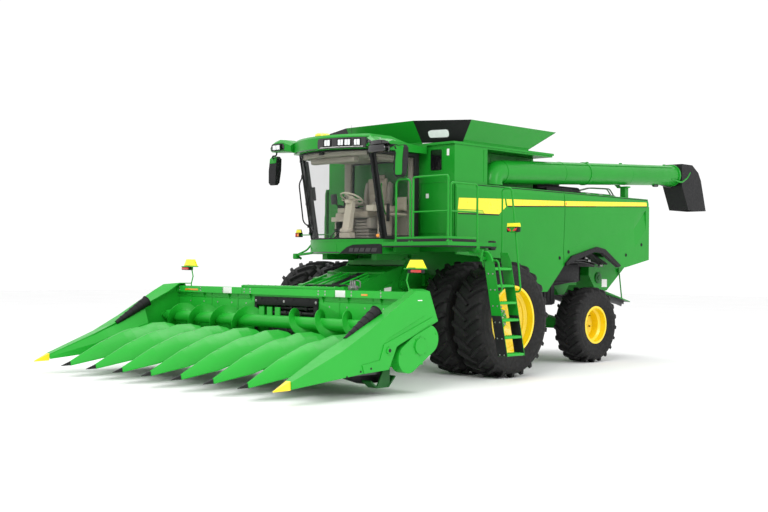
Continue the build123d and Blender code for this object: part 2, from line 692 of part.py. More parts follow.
def chopper():
    w = WHEELBASE
    outline = [(w + 680, 2070), (w + 680, 1700), (w + 980, 1330), (w + 1340, 1390), (w + 2020, 1880), (w + 1780, 2070)]
    body = slab_x(outline, -CHOP_W, CHOP_W)
    hollow = slab_x(
        [
            (w + 740, 2100),
            (w + 740, 1720),
            (w + 1010, 1390),
            (w + 1220, 1250),
            (w + 1420, 1380),
            (w + 1920, 1870),
            (w + 1760, 2100),
        ],
        -CHOP_W + 30,
        CHOP_W - 30,
    )
    lid = box(-CHOP_W, CHOP_W, w + 680, w + 1780, 2040, HOOD_FOOT_Z - FIT)
    bores = both(rod((CHOP_W - 40, *DRUM), (CHOP_W + 10, *DRUM), 40 + FIT))
    save("chopper_housing", join(body - hollow, lid) - bores[0] - bores[1])
    drum = rod((-CHOP_W + 45, *DRUM), (CHOP_W - 45, *DRUM), 90)
    shaft = rod((-CHOP_W - 30, *DRUM), (CHOP_W + 30, *DRUM), 40)
    knives = []
    for k in range(CHOP_KNIVES):
        angle = k * 137.5
        x = -CHOP_W + 110 + k * (2 * CHOP_W - 220) / (CHOP_KNIVES - 1)
        knives.append(Pos(x, *DRUM) * Rot(angle, 0, 0) * Pos(0, 0, 95) * Box(8, 50, 90))
    save("chopper_rotor", join(drum, shaft, *knives))
    y0, y1 = w + 1250, w + 2170
    board = slab_x([(y0, 1372), (y1, 1150), (y1 - 4, 1132), (y0 - 4, 1354)], -1040, 1040)
    fins = []
    for k in range(6):
        x = -875 + 350 * k
        fins.append(slab_x([(w + 1400, 1330), (w + 2120, 1155), (w + 2080, 1040), (w + 1520, 1180)], x - 8, x + 8))
    rods = both(rod((1024, w + 1870, 1210), (1024, w + 1760, 1800), 14))
    ears = both(box(CHOP_W + FIT, CHOP_W + 44, w + 1720, w + 1800, 1770, 1850))
    save("tailboard", join(board, *fins, *rods, *ears))


# ---------------------------------------------------------------- unloading auger
def unloading_auger():
    slope = auger_slope()
    px, py = SPOUT_AXIS
    bend = 228.0
    root = (px, py + bend + 20, AUGER_ROOT_Z + (bend + 20) * slope)
    end = (px, AUGER_END[0], AUGER_END[1])
    tube = rod(root, end, AUGER_R)
    elbow = pipe([(px, py, AUGER_SEAT_Z), (px, py, AUGER_ROOT_Z), (px, py + bend + 30, AUGER_ROOT_Z + (bend + 30) * slope)], AUGER_R - 8, bend - 10)
    flange = rod((px, py, AUGER_SEAT_Z), (px, py, AUGER_SEAT_Z + 24), AUGER_R)
    band = rod((AUGER_X, 3600, AUGER_ROOT_Z + 2840 * slope), (AUGER_X, 3640, AUGER_ROOT_Z + 2880 * slope), AUGER_R + 12)
    save("auger_tube", join(tube, elbow, flange, band))
    lower = rod((px, py, TANK_FLOOR + 120), (px, py, AUGER_SEAT_Z - FIT), AUGER_R - 55)
    foot = box(RECESS_X + FIT, px, py - 150, py + 150, TANK_FLOOR + 200, TANK_FLOOR + 520)
    save("auger_riser", join(lower, foot))
    top, bottom = AUGER_END[1] + AUGER_R + 25, 3140
    y0 = AUGER_END[0]
    shell = slab_x(
        [
            (y0 - 60, top),
            (y0 + 380, top),
            (y0 + 640, top - 150),
            (y0 + 760, top - 320),
            (SPOUT_REACH, bottom),
            (SPOUT_REACH - 760, bottom),
            (y0 - 60, AUGER_END[1] - AUGER_R - 25),
        ],
        AUGER_X - AUGER_R - 20,
        AUGER_X + AUGER_R + 20,
    )
    hollow = slab_x(
        [
            (y0 + FIT, top - 24),
            (y0 + 370, top - 24),
            (y0 + 620, top - 170),
            (y0 + 735, top - 330),
            (SPOUT_REACH - 24, bottom - 10),
            (SPOUT_REACH - 740, bottom - 10),
            (y0 + FIT, AUGER_END[1] - AUGER_R),
        ],
        AUGER_X - AUGER_R,
        AUGER_X + AUGER_R,
    )
    bore = rod((AUGER_X, y0 - 200, AUGER_END[1] - 200 * slope), (AUGER_X, y0 + 40, AUGER_END[1] + 40 * slope), AUGER_R + FIT)
    save("auger_spout", shell - hollow - bore)


# ---------------------------------------------------------------- cab
def lean_y(z):
    """Station of the windscreen pillar's front at a height."""
    return CAB_FRONT + CAB_LEAN * (z - CAB_SILL) / (CAB_HEAD - CAB_SILL)


def bow(y_foot, x_half, bulge, z, gauge):
    """A bowed strip in plan, for the windscreen and the floor's front edge."""
    front = ThreePointArc((-x_half, y_foot, z), (0, y_foot - bulge, z), (x_half, y_foot, z))
    back = ThreePointArc((x_half, y_foot + gauge, z), (0, y_foot - bulge + gauge, z), (-x_half, y_foot + gauge, z))
    ends = [Line(front @ 1, back @ 0), Line(back @ 1, front @ 0)]
    return make_face([front, ends[0], back, ends[1]])


def cab():
    w = CAB_W
    nose = ThreePointArc((-w, CAB_FRONT - 30, 0), (0, CAB_FRONT - 30 - CAB_BULGE, 0), (w, CAB_FRONT - 30, 0))
    sides = Polyline((w, CAB_FRONT - 30, 0), (w, CAB_REAR, 0), (-w, CAB_REAR, 0), (-w, CAB_FRONT - 30, 0))
    plan = make_face([nose, sides])
    floor = extrude(Pos(0, 0, CAB_UNDER) * plan, CAB_SILL - CAB_UNDER, dir=(0, 0, 1))
    save("cab_floor", floor)

    z0, z1 = CAB_SILL + FIT, CAB_HEAD - FIT
    y_top = lean_y(z1)
    post_front = slab_x([(CAB_FRONT, z0), (CAB_FRONT + POST, z0), (y_top + POST, z1), (y_top, z1)], w - POST, w - 6)
    post_rear = box(w - POST, w - 6, CAB_REAR - POST, CAB_REAR, z0, z1)
    sill = box(w - POST, w - 6, CAB_FRONT + 20, CAB_REAR - 10, z0, z0 + 40)
    head = box(w - POST, w - 6, y_top + 20, CAB_REAR - 10, z1 - 60, z1)
    back = box(-w + 10, w - 10, CAB_REAR - 40, CAB_REAR, z0, z1)
    window = box(-w + 190, w - 190, CAB_REAR - 60, CAB_REAR + 20, z0 + 620, z1 - 120)
    header = box(-w + POST, w - POST, y_top + 15, y_top + 65, z1 - 60, z1)
    frame_parts = [post_front, post_rear, sill, head]
    hx, hy = DOOR_HINGE
    lugs = []
    for z in DOOR_KNUCKLES:
        for zc in (z - 45 - FIT, z + 45 + FIT):
            lugs.append(Pos(hx, hy, zc) * Cylinder(12, 30) + box(w - 30, hx, hy - 2, hy + 14, zc - 15, zc + 15))
    cage = join(*[s for p in frame_parts for s in both(p)], back - window, header, *lugs)
    save("cab_frame", cage)

    low = bow(CAB_FRONT - 14, w - 10, CAB_BULGE, z0, GLASS_T)
    high = bow(y_top - 14, w - 10, CAB_BULGE, z1, GLASS_T)
    windscreen = loft([low, high], ruled=True)
    right = slab_x(
        [
            (lean_y(z0 + 40) + POST + FIT, z0 + 40 + FIT),
            (CAB_REAR - POST - FIT, z0 + 40 + FIT),
            (CAB_REAR - POST - FIT, z1 - 60 - FIT),
            (lean_y(z1 - 60) + POST + FIT, z1 - 60 - FIT),
        ],
        -w + 20,
        -w + 20 + GLASS_T,
    )
    rear = box(-w + 192, w - 192, CAB_REAR - 30, CAB_REAR - 30 + GLASS_T, z0 + 622, z1 - 122)
    save("cab_glass", windscreen, right, rear)

    y_hinge = CAB_REAR - POST - 20
    door_outer = [(CAB_FRONT + 12, z0 + 10), (y_hinge, z0 + 10), (y_hinge, z1 - 10), (lean_y(z1 - 10) + 12, z1 - 10)]
    edge = 48
    door_inner = [
        (CAB_FRONT + 12 + edge, z0 + 10 + edge),
        (y_hinge - edge, z0 + 10 + edge),
        (y_hinge - edge, z1 - 10 - edge),
        (lean_y(z1 - 10 - edge) + 12 + edge, z1 - 10 - edge),
    ]
    x0, x1 = w - 6 + FIT, w + 32
    leaf = slab_x(door_outer, x0, x1) - slab_x(door_inner, x0 - 1, x1 + 1)
    grip = [(lean_y(z) + dy, z) for z, dy in ((2650, 20), (2650, 44), (2830, 44), (2830, 20))]
    handle = slab_x(grip, x1 - 1, x1 + 28)
    hx, hy = DOOR_HINGE
    knuckles = [Pos(hx, hy, z) * Cylinder(12, 60) + box(hx - 10, hx + 10, y_hinge - 2, hy, z - 30, z + 30) for z in DOOR_KNUCKLES]
    save("cab_door", join(leaf, handle, *knuckles))
    pane = [(y + (1 if k in (0, 3) else -1), z + (1 if k < 2 else -1)) for k, (y, z) in enumerate(door_inner)]
    save("door_glass", slab_x(pane, x0 + 12, x0 + 12 + GLASS_T))


def roof():
    """A bowed slab with rounded edges and two wings that reach out over the mirrors."""
    half, z0, z1 = ROOF_W, CAB_HEAD, CAB_HEAD + ROOF_T
    nose = lean_y(CAB_HEAD) - CAB_BULGE - 130
    side_y = lean_y(CAB_HEAD) - 60
    bow_line = ThreePointArc((-half, side_y, z0), (0, nose, z0), (half, side_y, z0))
    edge = Polyline((half, side_y, z0), (half, ROOF_REAR, z0), (-half, ROOF_REAR, z0), (-half, side_y, z0))
    slab = extrude(make_face([bow_line, edge]), ROOF_T, dir=(0, 0, 1))
    slope = slab_x([(-1350, z1 + 1), (ROOF_REAR - 1, z0 + 140), (ROOF_REAR - 1, z1 + 1)], -half - 1, half + 1)
    slab = chamfer(slab.edges().filter_by_position(Axis.Z, z1 - 1, z1 + 1), 40) - slope
    wings = []
    for x, front, back, low, high in WING:
        wings.append(
            make_face(
                Polyline(
                    (x, front, low + 20),
                    (x, front - 10, high - 60),
                    (x, front + 60, high - 8),
                    (x, (front + back) / 2, high),
                    (x, back - 50, high - 20),
                    (x, back, high - 80),
                    (x, back, low + 10),
                    (x, back - 40, low),
                    (x, front + 40, low),
                    close=True,
                )
            )
        )
    wing = loft(wings, ruled=True)
    save("cab_roof", join(slab, wing, flip(wing)))


def cab_inside():
    seat = join(
        box(-260, 260, -1180, -720, 2690, 2800),
        slab_x([(-760, 2790), (-640, 2790), (-590, 3480), (-680, 3480)], -250, 250),
        box(-170, 170, -1080, -760, CAB_SILL + FIT, 2700),
    )
    save("driver_seat", seat)
    column = join(
        box(-130, 130, -1480, -1360, CAB_SILL + FIT, 2420),
        slab_x([(-1480, 2410), (-1370, 2410), (-1300, 2960), (-1370, 2980)], -80, 80),
        Plane(origin=(0, -1330, 2985), z_dir=(0, 0.42, 0.9)) * Cylinder(28, 90),
        Plane(origin=(0, -1312, 3025), z_dir=(0, 0.42, 0.9)) * Torus(200, 15),
        Plane(origin=(0, -1312, 3025), z_dir=(0, 0.42, 0.9)) * Box(400, 34, 14),
    )
    console = join(
        box(300, 470, -1250, -700, 2800, 2900),
        box(330, 440, -1000, -760, CAB_SILL + FIT, 2801),
    )
    buddy = join(
        box(-800, -480, -1050, -700, 2640, 2720),
        box(-760, -520, -1000, -720, CAB_SILL + FIT, 2641),
        box(-790, -490, -735, -690, 2719, 3050),
    )
    save("cab_console", column, console, buddy)


def mirrors():
    """Mirror heads on drop arms from the wing tips."""
    x, y, z = ROOF_W + 400, -1850, WING[3][3] - FIT
    arm = pipe([(x, y, z), (x, y, z - 60), (x + 130, y, z - 60), (x + 130, -1745, z - 200)], 14, 40)
    rings = []
    for zc, depth, wide in ((3815, 60, 150), (3770, 110, 200), (3560, 130, 200), (3340, 100, 190), (3295, 50, 150)):
        rings.append(Pos(x + 180, -1735 - (3560 - zc) * 0.08, zc) * Rectangle(wide, depth))
    head = loft(rings, ruled=True)
    save("mirrors", *both(join(arm, head)))


# ---------------------------------------------------------------- platform, rails and ladder
def platform():
    deck = slab_z(
        [
            (CAB_W + 40, DECK_REAR),
            (DECK_X, DECK_REAR),
            (DECK_X, DECK_FRONT),
            (CAB_W + 230, DECK_FRONT),
            (CAB_W + 230, CAB_FRONT),
            (CAB_W + 40, CAB_FRONT),
        ],
        DECK_Z - DECK_T,
        DECK_Z,
    )
    brace = box(CAB_W + 100, CAB_W + 160, -1300, -700, DECK_Z - 150, DECK_Z - DECK_T)
    arm = box(SEP_W + FIT, DECK_X - 200, SEP_FRONT + 8, SEP_FRONT + 88, DECK_Z - 140, DECK_Z - DECK_T)
    save("platform", join(deck, brace, arm))

    r, top = RAIL_R, DECK_Z + RAIL_H
    y0, x1 = DECK_FRONT + 30, DECK_X - 30
    base = DECK_Z
    hoop = pipe([(1420, y0, base), (1420, y0, top - 20), (1740, y0, top - 20), (1740, y0, base)], r, 90)
    front = pipe([(1800, y0, base), (1800, y0, top), (x1, y0, top), (x1, y0, base)], r, 40)
    front_mid = rod((1800, y0, base + 480), (x1, y0, base + 480), r * 0.8)
    side = pipe([(x1, y0 + 60, base), (x1, y0 + 60, top - 110), (x1, -960, top - 110), (x1, -960, base)], r, 60)
    side_mid = rod((x1, y0 + 60, base + 480), (x1, -960, base + 480), r * 0.8)
    save("platform_rails", hoop, join(front, front_mid), join(side, side_mid))


def ladder():
    run = LADDER_FOOT_X - LADDER_TOP_X
    drop = LADDER_TOP_Z - LADDER_FOOT_Z

    def x_at(z):
        return LADDER_TOP_X + run * (LADDER_TOP_Z - z) / drop

    half = LADDER_DEPTH / 2
    outline = [
        (x_at(LADDER_TOP_Z) - half, LADDER_TOP_Z),
        (x_at(LADDER_TOP_Z) + half - 40, LADDER_TOP_Z),
        (x_at(LADDER_TOP_Z - 120) + half, LADDER_TOP_Z - 120),
        (x_at(LADDER_FOOT_Z) + half, LADDER_FOOT_Z),
        (x_at(LADDER_FOOT_Z) - half, LADDER_FOOT_Z),
    ]
    y0, y1 = LADDER_Y
    t = 10
    stringers = [slab_y(outline, y0, y0 + t), slab_y(outline, y1 - t, y1)]
    treads = []
    pitch = (LADDER_TOP_Z - 250 - LADDER_FOOT_Z - 40) / (TREADS - 1)
    for k in range(TREADS):
        z = LADDER_FOOT_Z + 40 + pitch * k
        treads.append(box(x_at(z) - half + 5, x_at(z) + half - 5, y0 + 2, y1 - 2, z - 35, z))
    r = RAIL_R * 0.9
    front_grab = pipe(
        [
            (x_at(1950) + half - 20, y0 + 5, 1950),
            (x_at(1950) + half + 90, y0 + 5, 1950),
            (x_at(1450) + half + 90, y0 + 5, 1450),
            (x_at(1450) + half - 20, y0 + 5, 1450),
        ],
        r,
        60,
    )
    rear_grab = pipe(
        [
            (LADDER_TOP_X - 60, y1 - 5, LADDER_TOP_Z - 60),
            (LADDER_TOP_X - 60, y1 - 5, 3130),
            (LADDER_TOP_X + 130, y1 - 5, 3130),
            (x_at(1450) + half + 110, y1 - 5, 1450),
            (x_at(1450) + half - 20, y1 - 5, 1450),
        ],
        r,
        60,
    )
    px, py = LADDER_PIVOT
    arm = box(px - 20, px + 60, py - 20, y0 + 4, DECK_Z - 280, DECK_Z - 230)
    knuckles = Pos(px, py, DECK_Z - 230) * Cylinder(28, 150)
    lamp_x = LADDER_TOP_X + 130 + (3130 - 2440) / 1680 * (x_at(1450) + half - 20 - LADDER_TOP_X)
    lamp = lamp_box(lamp_x, y1 - 50, 2485, 190, 75)
    save("ladder", join(*stringers, *treads, front_grab, rear_grab, arm, knuckles, lamp))
    low = DECK_Z - 155 + FIT
    bracket = join(
        box(px - 90, px + 28, py - 28, py + 28, low, low + 40),
        box(px - 160, px - 72, py - 40, py + 40, low, DECK_Z - DECK_T),
    )
    save("ladder_bracket", bracket)


def lamp_box(x, y, z, w, h):
    """A marker lamp below a reflector plate, seen from the front."""
    plate = slab_y([(x - w / 2, z), (x + w / 2, z), (x + w * 0.33, z + h), (x - w * 0.33, z + h)], y - 8, y + 8)
    lamp = box(x - w * 0.32, x + w * 0.32, y - 45, y + 45, z - 80, z + 1)
    return join(plate, lamp)


def marker_lights():
    y = CAB_REAR - POST / 2
    right = lamp_box(-2200, y, 2470, 180, 70)
    arm = rod((-2200, y, 2430), (-CAB_W + 6 - FIT, y, 2430), 11)
    save("right_marker", join(right, arm))


# ---------------------------------------------------------------- feeder house and lift cylinders
def feeder():
    py, pz = PIVOT
    drum_r = FEEDER_DRUM_R
    front = HEAD_BACK + 170
    top = [(py - drum_r * 0.3, pz + drum_r * 0.953), (front, 1270)]
    bottom = [(front, 500), (py - drum_r * 0.3, pz - drum_r * 0.953)]
    body = slab_x(top + bottom, -FEEDER_W, FEEDER_W)
    drum = rod((-FEEDER_W, py, pz), (FEEDER_W, py, pz), drum_r)
    collar = box(-THROAT[0] - 60, THROAT[0] + 60, HEAD_BACK + 75 + FIT, HEAD_BACK + 180, 480, 1290)
    mouth = slab_x(
        [(front - 200, 560), (front - 200, 1230), (front + 30, 1230), (front + 420, 1110), (front + 420, 640), (front + 30, 560)],
        -FEEDER_W + 30,
        FEEDER_W - 30,
    )
    ribs = []
    for y in (-2250, -1900, -1550, -1200):
        t = (y - front) / (top[0][0] - front)
        z = 1270 + t * (top[0][1] - 1270)
        ribs.append(slab_x([(y - 30, z - 30), (y + 30, z - 8), (y + 30, z + 34), (y - 30, z + 12)], -FEEDER_W, FEEDER_W))
    ear = slab_x([(-1750, 960), (-2080, 900), (-2060, 770), (-1880, 760), (-1700, 880)], FEEDER_W - 10, FEEDER_W + 30)
    pin = rod((FEEDER_W, *LIFT_EYE), (LIFT_X + 78, *LIFT_EYE), 16)
    drive = [
        slab_x([(-2330, 1020), (-2150, 1150), (-1050, 1560), (-1050, 1420), (-2150, 960), (-2330, 900)], FEEDER_W - 5, FEEDER_W + 60),
        rod((FEEDER_W - 5, -2240, 1000), (FEEDER_W + 75, -2240, 1000), 118),
    ]
    save("feeder_house", join(body, drum, collar, *ribs, *both(join(ear, pin)), *drive) - mouth)


def lift_cylinders():
    a, b = Vector(0, *LIFT_FOOT), Vector(0, *LIFT_EYE)
    along = (b - a).normalized()
    length = (b - a).length
    x = Vector(LIFT_X, 0, 0)

    def at(distance):
        return tuple(a + along * distance + x)

    barrel_end = length * 0.62
    eye = rod((LIFT_X - 28, *LIFT_FOOT), (LIFT_X + 28, *LIFT_FOOT), 55) - rod(
        (LIFT_X - 60, *LIFT_FOOT), (LIFT_X + 60, *LIFT_FOOT), 30 + FIT
    )
    barrel = join(rod(at(50), at(barrel_end), LIFT_BORE_R), eye)
    bore = rod(at(180), at(barrel_end + 10), LIFT_ROD_R + FIT)
    pin_hole = rod((LIFT_X - 60, *LIFT_FOOT), (LIFT_X + 60, *LIFT_FOOT), 30 + FIT)
    save("lift_barrels", *both(barrel - bore - pin_hole))
    tip = rod((LIFT_X - 28, *LIFT_EYE), (LIFT_X + 28, *LIFT_EYE), 52)
    hole = rod((LIFT_X - 60, *LIFT_EYE), (LIFT_X + 60, *LIFT_EYE), 16 + EYE_PLAY)
    save("lift_rods", *both(join(rod(at(260), at(length - 30), LIFT_ROD_R), tip) - hole))


# ---------------------------------------------------------------- corn head
def head_frame():
    y = HEAD_BACK
    half, sill, lintel = THROAT
    sheet = box(-HEAD_W, HEAD_W, y, y + SHEET_T, 430, BEAM_Z[0] + 5) - box(-half, half, y - 5, y + 40, sill, lintel)
    beam = box(-HEAD_W, HEAD_W, y - 70, y + 110, *BEAM_Z)
    cover = box(-1100, 1250, y - 40, y + 120, BEAM_Z[1] - 5, BEAM_Z[1] + 45)
    low = box(-HEAD_W, HEAD_W, y - 20, y + 75, 400, 520)
    posts = [box(x - 45, x + 45, y + SHEET_T - 2, y + 75, 500, BEAM_Z[0] + 5) for x in (-HEAD_W + 600, -1500, -905, 905, 1500, HEAD_W - 600)]
    main = join(sheet, beam, cover, low, *posts)
    ends = both(
        slab_x(
            [(y + 60, 420), (y + 60, BEAM_Z[1]), (y - 60, BEAM_Z[1]), (-3470, 1150), (-3600, 1060), (-3600, 480), (-3500, 420)],
            HEAD_W - 12,
            HEAD_W,
        )
    )
    bearings = both(
        rod((HEAD_W - 55, SCREW_Y, SCREW_Z), (HEAD_W - 10, SCREW_Y, SCREW_Z), 70)
        - rod((HEAD_W - 60, SCREW_Y, SCREW_Z), (HEAD_W - 12, SCREW_Y, SCREW_Z), SCREW_SHAFT_R + FIT)
    )
    pan_y = SCREW_Y - 186
    pan = slab_x([(y + 10, 540), (pan_y, 600), (pan_y, 480), (pan_y + 14, 480), (pan_y + 14, 585), (y + 10, 515)], -HEAD_W, HEAD_W)
    toolbar = box(-HEAD_W, HEAD_W, SCREW_Y - 290 + FIT, SCREW_Y - 180, 400, 500)
    links = [box(x - 30, x + 30, SCREW_Y - 200, y + 20, 440, 480) for x in (-HEAD_W + 300, -1600, 0, 1600, HEAD_W - 300)]
    shoes = []
    for side in (-1, 1):
        plate = [(-3700, 200), (-3570, SHOE_Z), (-3330, SHOE_Z), (-3180, 250), (-3200, 262), (-3340, 120), (-3560, 120)]
        plate += [(-3690, 215)]
        shoes.append(slab_x(plate, side * (HEAD_W - 190) - 90, side * (HEAD_W - 190) + 90))
        leg = [(-3560, 110), (-3300, 110), (-3300, 430), (-3395, 430)]
        shoes.append(slab_x(leg, side * (HEAD_W - 120) - 12, side * (HEAD_W - 120) + 12))
    save("header_frame", join(main, *ends, pan, toolbar, *links, *shoes, *bearings))


def cross_auger():
    tube = rod((-SCREW_END, SCREW_Y, SCREW_Z), (SCREW_END, SCREW_Y, SCREW_Z), SCREW_TUBE_R)
    thick = 14
    run = SCREW_END - 420
    blade = make_face(
        Plane(origin=(420, SCREW_Y, SCREW_Z), x_dir=(0, 1, 0), z_dir=(1, 0, 0))
        * Polyline((SCREW_TUBE_R - 8, -thick), (SCREW_R, -thick), (SCREW_R, thick), (SCREW_TUBE_R - 8, thick), close=True)
    )
    turn = run / SCREW_PITCH * 360
    flight = Solid.extrude_linear_with_rotation(blade.face(), (420, SCREW_Y, SCREW_Z), (run, 0, 0), turn)
    paddles = [box(-300 + k * 200, -180 + k * 200, SCREW_Y - 8, SCREW_Y + 8, SCREW_Z + 90, SCREW_Z + SCREW_R) for k in range(3)]
    shaft = rod((-HEAD_W + 16, SCREW_Y, SCREW_Z), (HEAD_W - 16, SCREW_Y, SCREW_Z), SCREW_SHAFT_R)
    save("cross_auger", join(tube, shaft, flight, flip(flight), *paddles))


def arch(y, half, z_side, z_ridge, foot, x=0.0):
    """A divider's cross section: upright feet under two arcs that meet at a soft ridge."""
    rise = z_ridge - z_side
    points = [(x - half, y, foot), (x - half, y, z_side)]
    flank = ThreePointArc(points[1], (x - half * 0.62, y, z_side + rise * 0.58), (x - half * 0.08, y, z_ridge - rise * 0.01))
    far = ThreePointArc((x + half * 0.08, y, z_ridge - rise * 0.01), (x + half * 0.62, y, z_side + rise * 0.58), (x + half, y, z_side))
    brow = Line(flank @ 1, far @ 0)
    left = Line(points[0], points[1])
    right = Line(far @ 1, (x + half, y, foot))
    return make_face([left, flank, brow, far, right, Line((x + half, y, foot), points[0])])


def divider_shell(sections, wall):
    """Lofts the sections and hollows them from below."""
    outer = loft([arch(*s) for s in sections], ruled=True)
    inner_sections = []
    for k, (y, half, z_side, z_ridge, foot, x) in enumerate(sections):
        shift = wall if k == 0 else (-wall if k == len(sections) - 1 else 0)
        inner_sections.append((y + shift, half - wall, z_side - wall * 0.3, z_ridge - wall, foot - 4, x))
    inner = loft([arch(*s) for s in inner_sections], ruled=True)
    return outer - inner


def dividers():
    peak_y, peak_z = SNOUT_PEAK
    snouts, hoods, points = [], [], []
    for k in range(1, ROWS):
        x = (k - ROWS / 2) * ROW_PITCH
        snouts.append(
            divider_shell(
                [
                    (TIP_Y + 160, 34, SNOUT_TIP_Z, SNOUT_TIP_Z + 62, SNOUT_TIP_Z - 12, x),
                    (peak_y - 560, 205, 318, peak_z - 205, 300, x),
                    (peak_y - 150, 288, 452, peak_z - 45, 440, x),
                    (peak_y, 322, 475, peak_z, 452, x),
                    (peak_y + 190, 328, 500, peak_z + 30, 458, x),
                ],
                9,
            )
        )
        hoods.append(
            divider_shell(
                [
                    (peak_y + 190 + FIT, 322, 500, peak_z + 18, 458, x),
                    (-3860, 328, 540, 838, 470, x),
                    (-3620, 328, 570, 842, 490, x),
                    (-3440, 318, 590, 805, 515, x),
                    (-3300, 285, 600, 715, 590, x),
                ],
                9,
            )
        )
        rear = TIP_Y + 160 - FIT
        cone = loft(
            [
                make_face(Polyline(*ring, close=True))
                for ring in (
                    [(x - 30, rear, 186), (x + 30, rear, 186), (x + 18, rear, 250), (x - 18, rear, 250)],
                    [(x - 5, TIP_Y, 182), (x + 5, TIP_Y, 182), (x + 4, TIP_Y, 190), (x - 4, TIP_Y, 190)],
                )
            ],
            ruled=True,
        )
        points.append(cone)
    save("divider_snouts", *snouts)
    save("divider_hoods", *hoods)

    xo = SHIELD_X + SHIELD_T / 2
    rear = TIP_Y + 202 - FIT
    for x in (xo, -xo):
        rings = (
            [(x - 58, rear, 215), (x + 58, rear, 215), (x + 52, rear, 335), (x - 40, rear, 335)],
            [(x - 6, TIP_Y - 50, 205), (x + 6, TIP_Y - 50, 205), (x + 5, TIP_Y - 50, 218), (x - 5, TIP_Y - 50, 218)],
        )
        points.append(loft([make_face(Polyline(*ring, close=True)) for ring in rings], ruled=True))
    save("divider_points", *points)


def end_shields():
    """Hollow end dividers with a bevelled crest, a stepped outer skin and a drive cover behind."""
    outer_x = SHIELD_X + SHIELD_T
    wedge = loft(
        [
            make_face(Polyline(*[(outer_x, y, z) for y, z in SHIELD_OUT], close=True)),
            make_face(Polyline(*[(CREST_X, y, z) for y, z in SHIELD_CREST], close=True)),
        ],
        ruled=True,
    )
    ahead = TIP_Y + 202
    taper = [(CREST_X - 200, ahead - 9), (SHIELD_X + 12, ahead - 9), (CREST_X + 5, -4650), (CREST_X - 200, -4650)]
    wedge = wedge - slab_z(taper, 0, 900)
    under = [(y, z - 18) for y, z in SHIELD_CREST[2:6]] + [(-2400, 1492), (-2400, 200), (-3640, 200), (-3640, 1075)]
    wedge = wedge - slab_x(under, CREST_X - 200, SHIELD_X)
    pocket = [(-4900, 300), (-4350, 640), (-3900, 900), (-3200, 1300), (-2830, 1400), (-2640, 1080), (-3490, 740)]
    pocket += [(-3640, 400), (-4100, 385)]
    wedge = wedge - slab_x(pocket, SHIELD_X + 12, outer_x - 12)
    step = [(-4122, 474), (-3776, 527), (-3695, 743), (-2697, 1098), (-2590, 1070), (-3441, 702), (-3596, 386), (-4080, 356)]
    raised = slab_x(step, outer_x - 5, outer_x + 12)

    rings = (
        (ahead + 5, -6, -7, 240, 316, 320),
        (-4630, 190, SHIELD_X - CREST_X, 330, 560, 622),
        (-4400, 225, SHIELD_X - CREST_X, 424, 620, 720),
        (-4250, 240, SHIELD_X - CREST_X, 430, 700, 770),
        (-3620, 240, SHIELD_X - CREST_X, 480, 1010, 1085),
    )
    faces = []
    for y, foot, crown, low, high, brow in rings:
        points = [(SHIELD_X - foot, y, low), (SHIELD_X + 8, y, low), (SHIELD_X + 8, y, high), (SHIELD_X - crown, y, brow)]
        points.append((SHIELD_X - foot - 4, y, low + (brow - low) * 0.55))
        faces.append(make_face(Polyline(*points, close=True)))
    inner = loft(faces, ruled=True)
    seat = ear_cone(1.5)
    save("end_shields", *both(join(wedge, raised, inner) - seat))

    a, b = Vector(0, -3200, 520), Vector(0, -2780, 780)
    axis_pull = (b - a).normalized()
    side = Vector(0, -axis_pull.Z, axis_pull.Y)
    r = 210
    corners = [a + side * r, b + side * r, b - side * r, a - side * r]
    body = slab_x([(p.Y, p.Z) for p in corners], HEAD_W + FIT, DRIVE_X - 20)
    ends = [rod((HEAD_W + FIT, p.Y, p.Z), (DRIVE_X - 20, p.Y, p.Z), r) for p in (a, b)]
    boss = rod((DRIVE_X - 25, -2960, 690), (DRIVE_X, -2960, 690), 120)
    cover = join(body, *ends, boss)
    trim = slab_x(
        [(-3600, 386), (-3441, 702), (-2558, 1040), (-2300, 1040), (-2300, 1600), (-3700, 1600), (-4200, 386)],
        SHIELD_X - 5,
        DRIVE_X + 5,
    )
    save("end_drives", *both(cover - Pos(0, 0, -FIT) * trim))


def row_units():
    """Deck plates, gathering chain loops and snapping rolls of each row."""
    units = []
    for k in range(ROWS):
        x = (k - ROWS / 2 + 0.5) * ROW_PITCH
        y0, y1 = -4360, SCREW_Y - 290
        parts = [box(x - 175, x - 18, y0, y1, 404, 412), box(x + 18, x + 175, y0, y1, 404, 412)]
        for side in (-1, 1):
            cx = x + side * 52
            loop = Pos(cx, 0, 0) * extrude(
                Pos(0, -4020, 411) * (SlotOverall(1130, 60, rotation=90) - SlotOverall(1090, 28, rotation=90)), 30
            )
            parts.append(loop)
            parts.append(rod((x + side * 58, -4430, 330), (x + side * 58, SCREW_Y - 280, 330), 44))
            parts.append(Plane(origin=(x + side * 58, -4430, 330), z_dir=(0, -1, 0)) * Cone(44, 12, 180, align=(Align.CENTER, Align.CENTER, Align.MIN)))
            parts.append(box(x + side * 135 - 30, x + side * 135 + 30, -4300, SCREW_Y - 290, 290, 408))
        parts.append(box(x - 160, x + 160, SCREW_Y - 420, SCREW_Y - 290, 290, 420))
        parts.append(box(x - 310, x + 310, -3500, y1, 440, 507 - FIT))
        parts.append(box(x - 150, x + 150, -3500, y1, 415, 445))
        units.append(join(*parts))
    save("row_units", *units)


def ear_cone(grow=0.0):
    """The flared deflector's outer form, optionally larger for the seat that it lies in."""
    a, b = Vector(CREST_X + 10, -4190, 820), Vector(CREST_X, -3570, 1190)
    return loft([Plane(origin=a, z_dir=b - a) * Circle(36 + grow), Plane(origin=b, z_dir=b - a) * Circle(92 + grow)])


